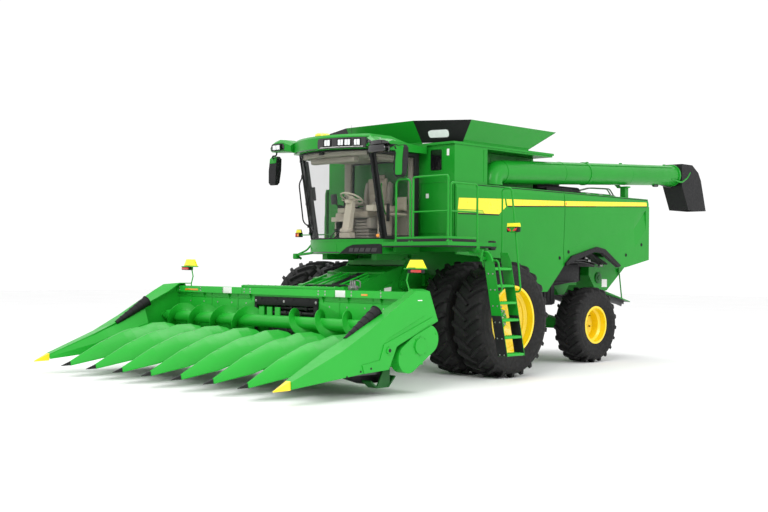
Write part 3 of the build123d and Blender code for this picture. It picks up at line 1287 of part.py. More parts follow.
def ear_savers():
    """Flared rubber deflectors seated in the end dividers' crests."""
    a, b = Vector(CREST_X + 10, -4190, 820), Vector(CREST_X, -3570, 1190)
    near, far = a + (b - a) * 0.06, b + (b - a) * 0.01
    inner = loft([Plane(origin=near, z_dir=b - a) * Circle(28), Plane(origin=far, z_dir=b - a) * Circle(84)])
    save("ear_savers", *both(ear_cone() - inner))


def header_lights():
    x, y = HEAD_W - 280, HEAD_BACK + 60
    low = BEAM_Z[1] + FIT
    stalk = pipe([(x, y, low), (x, y, low + 40), (x - 50, y, low + 170), (x, y, low + 330), (x + 60, y, low + 330)], 11, 18)
    lamp = lamp_box(x + 80, y, BEAM_Z[1] + 360, 210, 120)
    left = join(stalk, lamp)
    save("header_lights", *both(left))


# ---------------------------------------------------------------- build
def main():
    os.makedirs("parts", exist_ok=True)
    front_wheels()
    rear_wheels()
    frame()
    front_axle()
    rear_axle()
    separator()
    grain_tank()
    flaps()
    side_panels()
    rear_hood()
    chopper()
    unloading_auger()
    cab()
    roof()
    cab_inside()
    mirrors()
    platform()
    ladder()
    marker_lights()
    feeder()
    lift_cylinders()
    head_frame()
    cross_auger()
    dividers()
    end_shields()
    row_units()
    ear_savers()
    header_lights()


if __name__ == "__main__":
    main()
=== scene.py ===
import math

import bmesh
import bpy
from mathutils import Matrix, Vector
from mathutils.bvhtree import BVHTree
from mathutils.geometry import interpolate_bezier


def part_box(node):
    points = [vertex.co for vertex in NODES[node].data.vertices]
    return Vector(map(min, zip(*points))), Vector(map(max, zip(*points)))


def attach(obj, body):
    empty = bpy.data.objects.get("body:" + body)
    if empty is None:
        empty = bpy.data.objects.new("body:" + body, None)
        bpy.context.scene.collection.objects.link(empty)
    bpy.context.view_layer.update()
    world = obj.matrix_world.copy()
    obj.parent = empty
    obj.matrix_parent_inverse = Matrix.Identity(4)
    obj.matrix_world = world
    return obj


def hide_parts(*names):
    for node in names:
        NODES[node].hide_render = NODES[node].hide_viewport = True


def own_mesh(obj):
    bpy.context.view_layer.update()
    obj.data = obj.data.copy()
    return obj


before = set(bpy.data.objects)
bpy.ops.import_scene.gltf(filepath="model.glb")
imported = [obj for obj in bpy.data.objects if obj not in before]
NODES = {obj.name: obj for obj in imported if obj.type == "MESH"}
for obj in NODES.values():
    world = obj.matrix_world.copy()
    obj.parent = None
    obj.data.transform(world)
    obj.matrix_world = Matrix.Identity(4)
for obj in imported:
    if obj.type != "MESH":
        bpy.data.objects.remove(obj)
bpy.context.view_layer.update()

# Everything is in metres, with +X to the machine's left and its header towards -Y. Pieces are
# built with the front axle at y = 0; piece() moves them to the shared frame, where that axle
# stands at AXLE_Y.
AXLE_Y = -1.2
HUB_Z = 0.97  # height of the front wheels' centres
REAR_Y, REAR_Z = 3.78, 0.735  # centre of the rear wheels
ROW_PITCH = 0.762
UP, DOWN, AFT, FORE = (0, 0, 1), (0, 0, -1), (0, 1, 0), (0, -1, 0)
# where the rays that look for a surface start: ahead of the machine, behind, above and below it,
# beside its body, and beside the header's ends
AHEAD_Y, BEHIND_Y, ABOVE_Z, BELOW_Z = -4.0, 9.0, 3.0, -1.0
BESIDE_X, CLEAR_X = 3.0, 4.0
SIDES = ((1, "left"), (-1, "right"))


# ---------------------------------------------------------------- materials
def new_material(name):
    mat = bpy.data.materials.new(name)
    mat.use_nodes = True
    tree = mat.node_tree
    return mat, tree, tree.nodes["Principled BSDF"]


def noise(tree, scale, detail=4.0, rough=0.55, vector=None):
    node = tree.nodes.new("ShaderNodeTexNoise")
    node.inputs["Scale"].default_value = scale
    node.inputs["Detail"].default_value = detail
    node.inputs["Roughness"].default_value = rough
    if vector is not None:
        tree.links.new(vector, node.inputs["Vector"])
    return node


def object_coords(tree):
    return tree.nodes.new("ShaderNodeTexCoord").outputs["Object"]


def ramp(tree, source, stops):
    node = tree.nodes.new("ShaderNodeValToRGB")
    elements = node.color_ramp.elements
    while len(elements) < len(stops):
        elements.new(0.5)
    for element, (at, color) in zip(elements, stops):
        element.position = at
        element.color = (*color, 1.0) if len(color) == 3 else color
    tree.links.new(source, node.inputs["Fac"])
    return node.outputs["Color"]


def grey(v):
    return (v, v, v)


def bump(tree, bsdf, height, strength, distance):
    node = tree.nodes.new("ShaderNodeBump")
    node.inputs["Strength"].default_value = strength
    node.inputs["Distance"].default_value = distance
    tree.links.new(height, node.inputs["Height"])
    tree.links.new(node.outputs["Normal"], bsdf.inputs["Normal"])


def surface(name, base, spread, rough, scale=3.0, metal=0.0, coat=0.0, coat_rough=0.05, grain=None,
        dust_and_sheen=None, spec=0.5):
    """A procedural finish: colour and roughness drift with noise, grain is (scale, strength,
    metres), dust_and_sheen the colour of lighter specks, partly dust and partly a painted sheen."""
    mat, tree, bsdf = new_material(name)
    coords = object_coords(tree)
    drift = noise(tree, scale, vector=coords)
    low = tuple(c * (1 - spread) for c in base)
    high = tuple(min(1.0, c * (1 + spread)) for c in base)
    colour = ramp(tree, drift.outputs["Fac"], [(0.3, low), (0.7, high)])
    # lighter specks mixed into the colour: partly dust, partly a painted sheen
    if dust_and_sheen:
        specks = ramp(tree, noise(tree, 14.0, 8.0, 0.7, coords).outputs["Fac"],
            [(0.52, grey(0.0)), (0.78, grey(0.45))])
        mix = tree.nodes.new("ShaderNodeMixRGB")
        tree.links.new(specks, mix.inputs["Fac"])
        tree.links.new(colour, mix.inputs["Color1"])
        mix.inputs["Color2"].default_value = (*dust_and_sheen, 1.0)
        colour = mix.outputs["Color"]
    tree.links.new(colour, bsdf.inputs["Base Color"])
    fine = noise(tree, scale * 9, 3.0, vector=coords)
    tree.links.new(
        ramp(tree, fine.outputs["Fac"],
            [(0.3, grey(rough * 0.85)), (0.7, grey(min(1.0, rough * 1.2)))]),
        bsdf.inputs["Roughness"],
    )
    bsdf.inputs["Metallic"].default_value = metal
    bsdf.inputs["Specular IOR Level"].default_value = spec
    bsdf.inputs["Coat Weight"].default_value = coat
    bsdf.inputs["Coat Roughness"].default_value = coat_rough
    if grain:
        bump(tree, bsdf, noise(tree, grain[0], 2.0, vector=coords).outputs["Fac"], grain[1],
            grain[2])
    mat.diffuse_color = (*base, 1.0)
    return mat


GREEN = surface("paint_green", (0.008, 0.275, 0.018), 0.05, 0.36, 0.8, coat=0.14, coat_rough=0.14,
    grain=(90, 0.05, 0.0006), spec=0.22)
HEAD_GREEN = surface("paint_head_green", (0.012, 0.385, 0.026), 0.05, 0.4, 0.9, coat=0.16,
    coat_rough=0.2, grain=(80, 0.06, 0.0008), spec=0.3)
# a lighter copy of the header's green for its beam: painted light that the beam catches
LIT_BEAM_GREEN = surface("beam_green_painted_light", (0.016, 0.47, 0.034), 0.05, 0.4, 0.9, coat=0.16,
    coat_rough=0.2, grain=(80, 0.06, 0.0008), spec=0.3)
DARK_GREEN = surface("paint_dark_green", (0.005, 0.115, 0.013), 0.1, 0.45, 1.2, coat=0.1, spec=0.3)
YELLOW = surface("paint_yellow", (0.96, 0.7, 0.006), 0.04, 0.32, 1.5, coat=0.5,
    grain=(90, 0.05, 0.0006))
STRIPE = surface("stripe_film", (1.0, 0.78, 0.02), 0.02, 0.3, 1.5, coat=0.4)
LIME = surface("stripe_lime", (0.42, 0.62, 0.012), 0.02, 0.32, 1.5, coat=0.4)
CHASSIS = surface("paint_black", (0.01, 0.0105, 0.011), 0.25, 0.48, 2.0, coat=0.05,
    grain=(60, 0.15, 0.001), spec=0.25)
PLASTIC = surface("moulded_black", (0.011, 0.011, 0.012), 0.2, 0.55, 2.5, grain=(220, 0.25, 0.0008),
    spec=0.25)
GLOSS_BLACK = surface("gloss_black", (0.008, 0.008, 0.009), 0.2, 0.12, 2.0, coat=0.6)
# the rubber's lighter warm grey specks are partly dust, partly a painted sheen
RUBBER = surface("tyre_rubber", (0.01, 0.0098, 0.01), 0.25, 0.7, 2.2, grain=(140, 0.3, 0.001),
    dust_and_sheen=(0.024, 0.022, 0.02), spec=0.3)
DULL = surface("cast_coupler", (0.2, 0.2, 0.195), 0.2, 0.45, 6.0, metal=0.6,
    grain=(120, 0.2, 0.0006))
STEEL = surface("worn_steel", (0.42, 0.42, 0.41), 0.18, 0.34, 4.0, metal=1.0,
    grain=(120, 0.2, 0.0006))
DARK_STEEL = surface("rolled_steel", (0.09, 0.09, 0.092), 0.25, 0.42, 4.0, metal=0.8,
    grain=(120, 0.2, 0.0006))
CHROME = surface("chrome_rod", (0.75, 0.75, 0.76), 0.04, 0.09, 6.0, metal=1.0)
FABRIC = surface("seat_cloth", (0.44, 0.385, 0.305), 0.12, 0.85, 6.0, grain=(260, 0.5, 0.0015))
BEIGE = surface("cab_trim", (0.62, 0.55, 0.44), 0.06, 0.6, 3.0, grain=(180, 0.2, 0.001))
TAUPE = surface("cab_liner", (0.35, 0.315, 0.262), 0.08, 0.75, 3.0, grain=(180, 0.2, 0.001))
AMBER = surface("lens_amber", (0.95, 0.3, 0.01), 0.1, 0.16, 8.0, coat=0.8)
RED = surface("lens_red", (0.62, 0.014, 0.008), 0.1, 0.16, 8.0, coat=0.8)
WHITE = surface("blank_plate", (0.85, 0.85, 0.83), 0.02, 0.4, 6.0)
LENS = surface("lamp_lens", (0.86, 0.88, 0.9), 0.06, 0.08, 12.0, coat=0.9)
REFLECTOR = surface("lamp_reflector", (0.9, 0.9, 0.92), 0.03, 0.12, 12.0, metal=1.0)
FLUO = surface("reflector_yellow", (1.0, 0.92, 0.02), 0.02, 0.35, 12.0, coat=0.3,
    grain=(420, 0.3, 0.0008))
SCREEN = surface("monitor_glass", (0.01, 0.012, 0.016), 0.15, 0.08, 5.0, coat=0.8)


def glass_material(name, tint, alpha):
    """Clear glazing with a faint tint and a soft drift in it."""
    mat, tree, bsdf = new_material(name)
    coords = object_coords(tree)
    low = tuple(c * 0.94 for c in tint)
    tree.links.new(ramp(tree, noise(tree, 1.5, vector=coords).outputs["Fac"],
        [(0.3, low), (0.7, tint)]), bsdf.inputs["Base Color"])
    bsdf.inputs["Roughness"].default_value = 0.03
    bsdf.inputs["Alpha"].default_value = alpha
    bsdf.inputs["Coat Weight"].default_value = 0.6
    mat.diffuse_color = (*tint, alpha)
    return mat


GLASS = glass_material("cab_glass_clear", (0.05, 0.065, 0.058), 0.1)

NODE_FINISH = (
    (GREEN, "tailboard front_axle rear_axle grain_tank front_flap rear_flap left_flap"),
    (GREEN, "right_flap rear_hood auger_riser auger_tube cab_roof platform platform_rails"),
    (GREEN, "ladder ladder_bracket left_knuckle right_knuckle tie_rod left_front_panel"),
    (GREEN, "left_rear_panel right_front_panel right_rear_panel lift_barrels feeder_house"),
    (GREEN, "cab_floor main_frame separator_housing chopper_housing"),
    (HEAD_GREEN, "header_frame divider_snouts divider_hoods end_shields end_drives cross_auger"),
    (CHASSIS, "engine chopper_rotor cab_frame cab_door right_marker header_lights"),
    (DARK_STEEL, "row_units"),
    (PLASTIC, "tank_corner_panels mirrors auger_spout ear_savers"),
    (YELLOW, "left_dual_rims right_dual_rims left_rear_rim right_rear_rim divider_points"),
    (RUBBER, "left_dual_tyres right_dual_tyres left_rear_tyre right_rear_tyre"),
    (GLASS, "cab_glass door_glass"),
    (FABRIC, "driver_seat"),
    (BEIGE, "cab_console"),
    (CHROME, "lift_rods"),
)
for finish, names in NODE_FINISH:
    for node in names.split():
        mesh = NODES[node].data
        mesh.materials.clear()
        mesh.materials.append(finish)


def paint_node(node, extra, pick):
    """Gives the faces of a CAD node that pick(centre, normal) accepts another finish; stations as
    in the pieces."""
    mesh = NODES[node].data
    mesh.materials.append(extra)
    index = len(mesh.materials) - 1
    for poly in mesh.polygons:
        c = poly.center
        if pick(Vector((c.x, c.y - AXLE_Y, c.z)), poly.normal):
            poly.material_index = index


ARCH = ((2.705, 1.885), (2.96, 1.975), (3.66, 2.165), (3.91, 2.15), (4.5, 1.87))
ARCH_LIP = ((2.705, 1.935), (2.91, 2.075), (3.74, 2.262), (4.01, 2.225), (4.58, 1.905))


def along(line, y):
    """A broken line's height at y."""
    for (ya, za), (yb, zb) in zip(line, line[1:]):
        if y <= yb:
            return za + (zb - za) * (y - ya) / (yb - ya)
    return line[-1][1]


def on_flare(c, n):
    """Whether a face of a side panel belongs to the flare round the rear wheel's arch."""
    return 2.68 < c.y < 4.6 and along(ARCH, c.y) - 0.05 < c.z < along(ARCH_LIP,
        c.y) + 0.006 and abs(c.x) > 1.6


def on_hub(c, outer):
    """Whether a face of the front rims belongs to the hub, outside the outer rim or inside the
    inner one."""
    return (abs(c.x) > 2.2 if outer else abs(c.x) < 1.4) and math.hypot(c.y, c.z - HUB_Z) < 0.178


paint_node("divider_points", CHASSIS, lambda c, n: abs(c.x) < 2.6)
for side in ("left", "right"):
    for part in ("front", "rear"):
        paint_node(f"{side}_{part}_panel", PLASTIC, on_flare)
    for outer in (True, False):
        paint_node(f"{side}_dual_rims", GREEN, lambda c, n: on_hub(c, outer))
paint_node("tailboard", DARK_STEEL, lambda c, n: abs(c.x) < 0.98 and n.z < 0.5)
# the frame below 0.33 m, round the skid shoes, is painted darker: painted shade under the header
paint_node("header_frame", DARK_GREEN, lambda c, n: c.z < 0.33)
# the beam at the top of the header frame gets the lighter green: painted light
paint_node("header_frame", LIT_BEAM_GREEN, lambda c, n: c.z > 0.9 and abs(c.x) < 2.95)
paint_node("right_marker", GREEN, lambda c, n: c.x > -2.1)
paint_node("header_lights", HEAD_GREEN, lambda c, n: c.z < 1.74 or c.y > -2.7)
paint_node("chopper_housing", CHASSIS, lambda c, n: c.z < 1.42)


# ---------------------------------------------------------------- mesh tools
def circle(count):
    """The cosine and sine of each of count even steps round a turn."""
    return [(math.cos(a), math.sin(a)) for a in (2 * math.pi * k / count for k in range(count))]


def span(side, a, b):
    """The two x of a stretch that is mirrored with the side, the lower one first."""
    return sorted((side * a, side * b))


def near(middle, reach):
    """The two ends of a stretch about its middle."""
    return middle - reach, middle + reach


def rect(a0, a1, b0, b1):
    """A rectangle as an outline, in the two axes that the call is about."""
    return [(a0, b0), (a1, b0), (a1, b1), (a0, b1)]


def axis_frame(normal, up=(0, 0, 1)):
    """A rotation whose z axis is normal and whose y axis is as near to up as it can be."""
    z = Vector(normal).normalized()
    up = Vector(up)
    if abs(z.dot(up.normalized())) > 0.99:
        up = Vector((0, 1, 0))
    x = up.cross(z).normalized()
    return Matrix((x, z.cross(x), z)).transposed().to_4x4()


def at(place, normal=(0, 0, 1), up=(0, 0, 1)):
    return Matrix.Translation(place) @ axis_frame(normal, up)


def block(bm, x0, x1, y0, y1, z0, z1, bevel=0.004, matrix=None, segments=2):
    """A box with rounded edges."""
    size = Matrix.Diagonal((x1 - x0, y1 - y0, z1 - z0, 1))
    place = Matrix.Translation(((x0 + x1) / 2, (y0 + y1) / 2, (z0 + z1) / 2)) @ size
    verts = bmesh.ops.create_cube(bm, size=1.0, matrix=(matrix or Matrix()) @ place)["verts"]
    # each edge once, in a fixed order
    edges = dict.fromkeys(e for v in verts for e in v.link_edges)
    room = min(x1 - x0, y1 - y0, z1 - z0) * 0.45
    bmesh.ops.bevel(bm, geom=list(edges), offset=min(bevel, room), segments=segments, profile=0.5,
        affect="EDGES")


def loft(bm, rings, joined=False):
    """Walls between rings of as many vertices; the end rings are capped, or joined to each
    other."""
    faces = [] if joined else [bm.faces.new(rings[0][::-1]), bm.faces.new(rings[-1])]
    for a, b in zip(rings, rings[1:] + rings[:1] if joined else rings[1:]):
        for k in range(len(a)):
            n = (k + 1) % len(a)
            faces.append(bm.faces.new((a[k], a[n], b[n], b[k])))
    bmesh.ops.recalc_face_normals(bm, faces=faces)
    return faces


def plate(bm, outline, matrix, low, high):
    """A flat outline with a thickness, on a placed plane."""
    loft(bm, [[bm.verts.new(matrix @ Vector((a, b, h))) for a, b in outline] for h in (low, high)])


def slab(bm, outline, axis, a0, a1, bevel=0.0):
    """A flat outline pushed from a0 to a1 along x, y or z; the outline's two numbers are the other
    two axes in order."""

    def place(p, a):
        return {"x": (a, p[0], p[1]), "y": (p[0], a, p[1]), "z": (p[0], p[1], a)}[axis]

    faces = loft(bm, [[bm.verts.new(place(p, a)) for p in outline] for a in (a0, a1)])
    if bevel:
        rims = dict.fromkeys(e for f in faces[:2] for e in f.edges)
        bmesh.ops.bevel(bm, geom=list(rims), offset=bevel, segments=2, profile=0.5, affect="EDGES")


def lathe(bm, profile, place, normal, segs=32, hoop=False):
    """Turns (height along normal, radius) points about the line through place.

    A hoop's last point joins its first. Elsewhere the ends are capped, and a last radius of 0 makes
    a tip."""
    frame_at = at(place, normal)
    tip = profile[-1][1] == 0
    rings = [
        [bm.verts.new(frame_at @ Vector((radius * c, radius * s, height))) for c, s in circle(segs)]
        for height, radius in (profile[:-1] if tip else profile)
    ]
    if not tip:
        loft(bm, rings, hoop)
        return
    top = bm.verts.new(frame_at @ Vector((0, 0, profile[-1][0])))
    rim = rings[-1]
    faces = [bm.faces.new(rings[0][::-1])]
    faces += [bm.faces.new((rim[k], rim[(k + 1) % segs], top)) for k in range(segs)]
    for a, b in zip(rings, rings[1:]):
        for k in range(segs):
            n = (k + 1) % segs
            faces.append(bm.faces.new((a[k], a[n], b[n], b[k])))
    bmesh.ops.recalc_face_normals(bm, faces=faces)


def bolt(bm, place, normal, r=0.012, h=0.009):
    """A washer and a domed hexagon head."""
    lathe(bm, [(-0.002, r * 1.45), (h * 0.22, r * 1.45), (h * 0.25, r * 1.3)], place, normal, 14)
    lathe(bm, [(h * 0.2, r), (h * 0.85, r), (h, r * 0.82)], place, normal, 6)


def bolt_ring(bm, place, normal, radius, count, r=0.012, h=0.009, turn=0.0):
    """Bolts at even steps on a circle about place."""
    frame_at = at(place, normal)
    for k in range(count):
        a = turn + 2 * math.pi * k / count
        bolt(bm, frame_at @ Vector((radius * math.cos(a), radius * math.sin(a), 0)), normal, r, h)


def rounded(points, corner):
    """The same path with each corner turned into a short curve."""
    points = [Vector(p) for p in points]
    if len(points) < 3 or corner <= 0:
        return points
    out = [points[0]]
    for before, here, after in zip(points, points[1:], points[2:]):
        reach = min(corner, (before - here).length * 0.45, (after - here).length * 0.45)
        a = here + (before - here).normalized() * reach
        b = here + (after - here).normalized() * reach
        out += interpolate_bezier(a, a.lerp(here, 0.55), b.lerp(here, 0.55), b, 6)
    return out + [points[-1]]


def sweep(bm, points, radius, corner=0.05, segs=10):
    """A round bar along a path, with closed ends."""
    path = rounded(points, corner)
    ahead = (path[1] - path[0]).normalized()
    side = ahead.orthogonal().normalized()
    rings = []
    for k, p in enumerate(path):
        before = path[max(k - 1, 0)]
        after = path[min(k + 1, len(path) - 1)]
        ahead = (after - before).normalized()
        side = (side - ahead * side.dot(ahead)).normalized()
        other = ahead.cross(side)
        rings.append([bm.verts.new(p + (side * c + other * s) * radius) for c, s in circle(segs)])
    loft(bm, rings)


def skin(*nodes):
    """A search tree over CAD nodes, at front-axle stations."""
    verts, polys = [], []
    for name in nodes:
        mesh = NODES[name].data
        base = len(verts)
        verts += [Vector((v.co.x, v.co.y - AXLE_Y, v.co.z)) for v in mesh.vertices]
        polys += [[base + i for i in p.vertices] for p in mesh.polygons]
    return BVHTree.FromPolygons(verts, polys)


def touch(tree, start, direction):
    """Where a ray from start first meets the skin, and the skin's normal there."""
    place, normal, _, _ = tree.ray_cast(Vector(start), Vector(direction))
    if place is not None and normal.dot(Vector(direction)) > 0:
        normal = -normal
    return place, normal


def ahead(tree, x, z):
    """The place and normal that a ray from ahead of the machine meets; so from the others."""
    return touch(tree, (x, AHEAD_Y, z), AFT)


def beside(tree, side, y, z, start=BESIDE_X):
    return touch(tree, (side * start, y, z), (-side, 0, 0))


def behind(tree, x, z):
    return touch(tree, (x, BEHIND_Y, z), FORE)


def drape(bm, outline, tree, start, direction, lift=0.0015, thick=0.004, step=0.12):
    """A thin film laid on the skin; outline is in the two axes across direction, start a
    coordinate outside it."""
    direction = Vector(direction)
    axis = max(range(3), key=lambda k: abs(direction[k]))
    others = [k for k in range(3) if k != axis]

    def full(p):
        co = Vector((0, 0, 0))
        co[others[0]], co[others[1]] = p
        return co

    flat = bmesh.new()
    flat.faces.new([flat.verts.new(full(p)) for p in outline])
    for k, other in enumerate(others):
        lo, hi = min(p[k] for p in outline), max(p[k] for p in outline)
        parts = int((hi - lo) / step) + 1
        for j in range(1, parts):
            cut, normal = [0.0] * 3, [0.0] * 3
            cut[other], normal[other] = lo + (hi - lo) * j / parts, 1.0
            bmesh.ops.bisect_plane(flat, geom=flat.verts[:] + flat.edges[:] + flat.faces[:],
                plane_co=cut, plane_no=normal)
    last = None
    for v in flat.verts:
        spot = v.co.copy()
        spot[axis] = start
        hit, _ = touch(tree, spot, direction)
        if hit is not None:
            last = hit[axis]
        if last is not None:
            v.co[axis] = (hit[axis] if hit is not None else last) - direction[axis] * lift
    new = {v: bm.verts.new(v.co) for v in flat.verts}
    back = {v: bm.verts.new(v.co + direction * thick) for v in flat.verts}
    faces = []
    for f in flat.faces:
        faces.append(bm.faces.new([new[v] for v in f.verts]))
        faces.append(bm.faces.new([back[v] for v in reversed(f.verts)]))
    for e in flat.edges:
        if len(e.link_faces) == 1:
            a, b = e.verts
            faces.append(bm.faces.new((new[a], new[b], back[b], back[a])))
    bmesh.ops.recalc_face_normals(bm, faces=faces)
    flat.free()


def drape_front(bm, outline, tree, *film):
    drape(bm, outline, tree, AHEAD_Y, AFT, *film)


def drape_side(bm, outline, tree, side, *film, start=BESIDE_X):
    drape(bm, outline, tree, side * start, (-side, 0, 0), *film)


def piece(name, bm, finish, body="machine", angle=38.0, second=None, pick=None):
    """Turns a bmesh built at front-axle stations into a piece that rides on a body.

    The faces that pick(centre, normal) accepts get the second finish; angle is the least one, in
    degrees, that makes an edge sharp."""
    bmesh.ops.translate(bm, verts=bm.verts[:], vec=(0, AXLE_Y, 0))
    mesh = bpy.data.meshes.new(name)
    bm.to_mesh(mesh)
    bm.free()
    mesh.materials.append(finish)
    if pick:
        mesh.materials.append(second)
        for poly in mesh.polygons:
            c = poly.center
            poly.material_index = int(pick(Vector((c.x, c.y - AXLE_Y, c.z)), poly.normal))
    mesh.polygons.foreach_set("use_smooth", [True] * len(mesh.polygons))
    mesh.set_sharp_from_angle(angle=math.radians(angle))
    obj = bpy.data.objects.new(name, mesh)
    bpy.context.scene.collection.objects.link(obj)
    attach(obj, body)
    return obj


# ---------------------------------------------------------------- tyres and wheels
def tread_tyre(bm, x, y, z, radius, width, bead_r, lugs, depth):
    """A carcass and its angled bars, inside the CAD tyre's own section; the bars sweep up at the
    front face."""
    half = width / 2
    wall = radius - bead_r

    def height(f):
        return bead_r + wall * f

    tread = radius - depth
    outer = (
        (0.8, bead_r + 0.0005), (0.8, bead_r + 0.012), (0.865, bead_r + 0.034), (0.9, height(0.13)),
        (0.905, height(0.17)), (0.945, height(0.24)), (0.985, height(0.38)), (0.994, height(0.5)),
        (0.986, height(0.6)), (0.992, height(0.615)), (0.988, height(0.645)), (0.962, height(0.7)),
        (0.935, height(0.78)), (0.885, tread - 0.028), (0.8, tread - 0.01), (0.55, tread - 0.002),
        (0.25, tread),
    )
    outer = [(half * share, r) for share, r in outer]
    section = [(-px, r) for px, r in outer] + outer[::-1]
    rings = []
    for px, r in section:
        rings.append([bm.verts.new((x + px, y - r * c, z + r * s)) for c, s in circle(120)])
    loft(bm, rings, True)

    flank = [p for p in outer if p[1] >= height(0.7)][::-1]
    crown_line = (
        (0.0, radius), (0.7, radius), (0.9, radius * 0.985), (0.965, height(0.79)),
        (0.99, height(0.66)),
    )

    def carcass(px):
        return flank[0][1] if abs(px) <= flank[0][0] else along(flank, abs(px))

    def crown(px):
        return along(crown_line, abs(px) / half)

    stations = (0.0, 0.06, 0.22, 0.4, 0.58, 0.74, 0.86, 0.93, 1.0)
    for side in (-1, 1):
        for k in range(lugs):
            turn = 2 * math.pi * (k + (0.5 if side > 0 else 0.0)) / lugs
            run = [(half * (-0.05 + 1.02 * t), half * (0.95 * t - 0.22 * t * t)) for t in stations]
            loops = []
            for j, (px, arc) in enumerate(run):
                xa, aa = run[max(j - 1, 0)]
                xb, ab = run[min(j + 1, len(run) - 1)]
                tangent = Vector((xb - xa, ab - aa)).normalized()
                normal = Vector((-tangent.y, tangent.x))
                top = half * (0.062 + 0.03 * stations[j])
                foot = top + half * 0.045
                ring = []
                for reach, high in ((-foot, False), (-top, True), (top, True), (foot, False)):
                    qx, qa = px + normal.x * reach, arc + normal.y * reach
                    qx = max(min(qx, half * 0.975), -half * 0.3)
                    edge = 0.01 if j in (0, len(run) - 1) else 0.0
                    r = crown(qx) - 0.0005 - edge if high else carcass(qx) - 0.012
                    r = max(r, carcass(qx) - 0.012)
                    a = turn + qa / radius
                    spot = (x + side * qx, y - r * math.cos(a), z + r * math.sin(a))
                    ring.append(bm.verts.new(spot))
                loops.append(ring)
            for a, b in zip(loops, loops[1:]):
                for j in range(3):
                    bm.faces.new((a[j], a[j + 1], b[j + 1], b[j]))
            bm.faces.new(loops[0][::-1])
            bm.faces.new(loops[-1])
    bmesh.ops.recalc_face_normals(bm, faces=bm.faces[:])


def wheels():
    """Tyres with their treads, and the nuts, clips and valves on the rims."""
    for side, name in SIDES:
        bm = bmesh.new()
        for x in (1.524, 2.286):
            tread_tyre(bm, side * x, 0, HUB_Z, 0.9698, 0.62, 0.545, 23, 0.052)
        tyres = piece(f"{name}_dual_tread", bm, RUBBER, f"{name}_dual_wheel", angle=32)
        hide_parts(f"{name}_dual_tyres")
        bm = bmesh.new()
        tread_tyre(bm, side * 1.4, REAR_Y, REAR_Z, 0.7348, 0.56, 0.342, 20, 0.044)
        tyre = piece(f"{name}_rear_tread", bm, RUBBER, f"{name}_rear_wheel", angle=32)
        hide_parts(f"{name}_rear_tyre")

        out = (side, 0, 0)
        bm = bmesh.new()
        bolt_ring(bm, (side * 2.266, 0, HUB_Z), out, 0.142, 10, 0.017, 0.022)
        bolt_ring(bm, (side * 2.2125, 0, HUB_Z), out, 0.222, 12, 0.016, 0.018, 0.1)
        bolt_ring(bm, (side * 2.316, 0, HUB_Z), out, 0.078, 6, 0.01, 0.01)
        lathe(bm, [(0, 0.04), (0.012, 0.04), (0.016, 0.034), (0.016, 0.0)],
            (side * 2.316, 0, HUB_Z), out, 24)
        bolt_ring(bm, (side * 1.561, 0, HUB_Z), out, 0.225, 12, 0.016, 0.016)
        piece(f"{name}_hub_nuts", bm, STEEL, f"{name}_dual_wheel")

        bm = bmesh.new()
        for k in range(8):
            a = 2 * math.pi * (k + 0.5) / 8
            r = 0.455
            spot = Vector((side * (2.212 + (r - 0.26) / 0.232 * 0.16), r * math.cos(a),
                HUB_Z + r * math.sin(a)))
            normal = Vector((side * 0.82, -0.57 * math.cos(a), -0.57 * math.sin(a)))
            block(bm, -0.035, 0.035, -0.026, 0.026, -0.006, 0.01, 0.005,
                at(spot, normal, (0, math.cos(a), math.sin(a))))
            bolt(bm, spot + normal * 0.01, normal, 0.011, 0.01)
        lathe(bm, [(-0.01, 0.012), (0.03, 0.01), (0.055, 0.006), (0.058, 0.0)],
            (side * 2.335, 0.27, HUB_Z + 0.3), out, 12)
        for r, x in ((0.4935, 2.385), (0.5575, 2.548)):
            lathe(bm, [(-0.004, r), (0.004, r - 0.004), (0.004, r - 0.01), (-0.004, r - 0.012)],
                (side * x, 0, HUB_Z), out, 96, hoop=True)
        piece(f"{name}_rim_clips", bm, YELLOW, f"{name}_dual_wheel")

        bm = bmesh.new()
        bolt_ring(bm, (side * 1.304, REAR_Y, REAR_Z), out, 0.128, 10, 0.014, 0.018)
        lathe(bm, [(0, 0.07), (0.014, 0.068), (0.022, 0.05), (0.024, 0.0)],
            (side * 1.365, REAR_Y, REAR_Z), out)
        bolt_ring(bm, (side * 1.3655, REAR_Y, REAR_Z), out, 0.08, 6, 0.007, 0.008)
        piece(f"{name}_rear_nuts", bm, STEEL, f"{name}_rear_wheel")

        bm = bmesh.new()
        lathe(bm, [(-0.012, 0.015), (0.004, 0.015), (0.008, 0.011), (0.008, 0.0)],
            (side * 1.352, REAR_Y + 0.21, REAR_Z - 0.04), out, 16)
        lathe(bm, [(0, 0.007), (0.045, 0.006), (0.05, 0.0)],
            (side * 1.345, REAR_Y + 0.18, REAR_Z + 0.17), out, 12)
        piece(f"{name}_rear_valve", bm, PLASTIC, f"{name}_rear_wheel")


wheels()


# ---------------------------------------------------------------- cab
def shaped_roof():
    """The cab roof with its machine-left wing drawn down over the mirror, as the photo shows it."""
    bm = bmesh.new()
    bm.from_mesh(NODES["cab_roof"].data)
    bmesh.ops.translate(bm, verts=bm.verts[:], vec=(0, -AXLE_Y, 0))
    for v in bm.verts:
        fall = min(max((v.co.x - 0.955) / 0.1, 0.0), 1.0)
        low = 3.812 + (v.co.z - 3.84) * 0.46
        v.co.z = max(v.co.z + (low - v.co.z) * fall, 3.801)
    tree = BVHTree.FromBMesh(bm)

    def black(c, n):
        return c.x > 1.02 and (n.y < -0.35 or n.z < -0.5)

    shell = piece("roof_shell", bm, GREEN, angle=34, second=GLOSS_BLACK, pick=black)
    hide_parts("cab_roof")
    return tree


ROOF = shaped_roof()


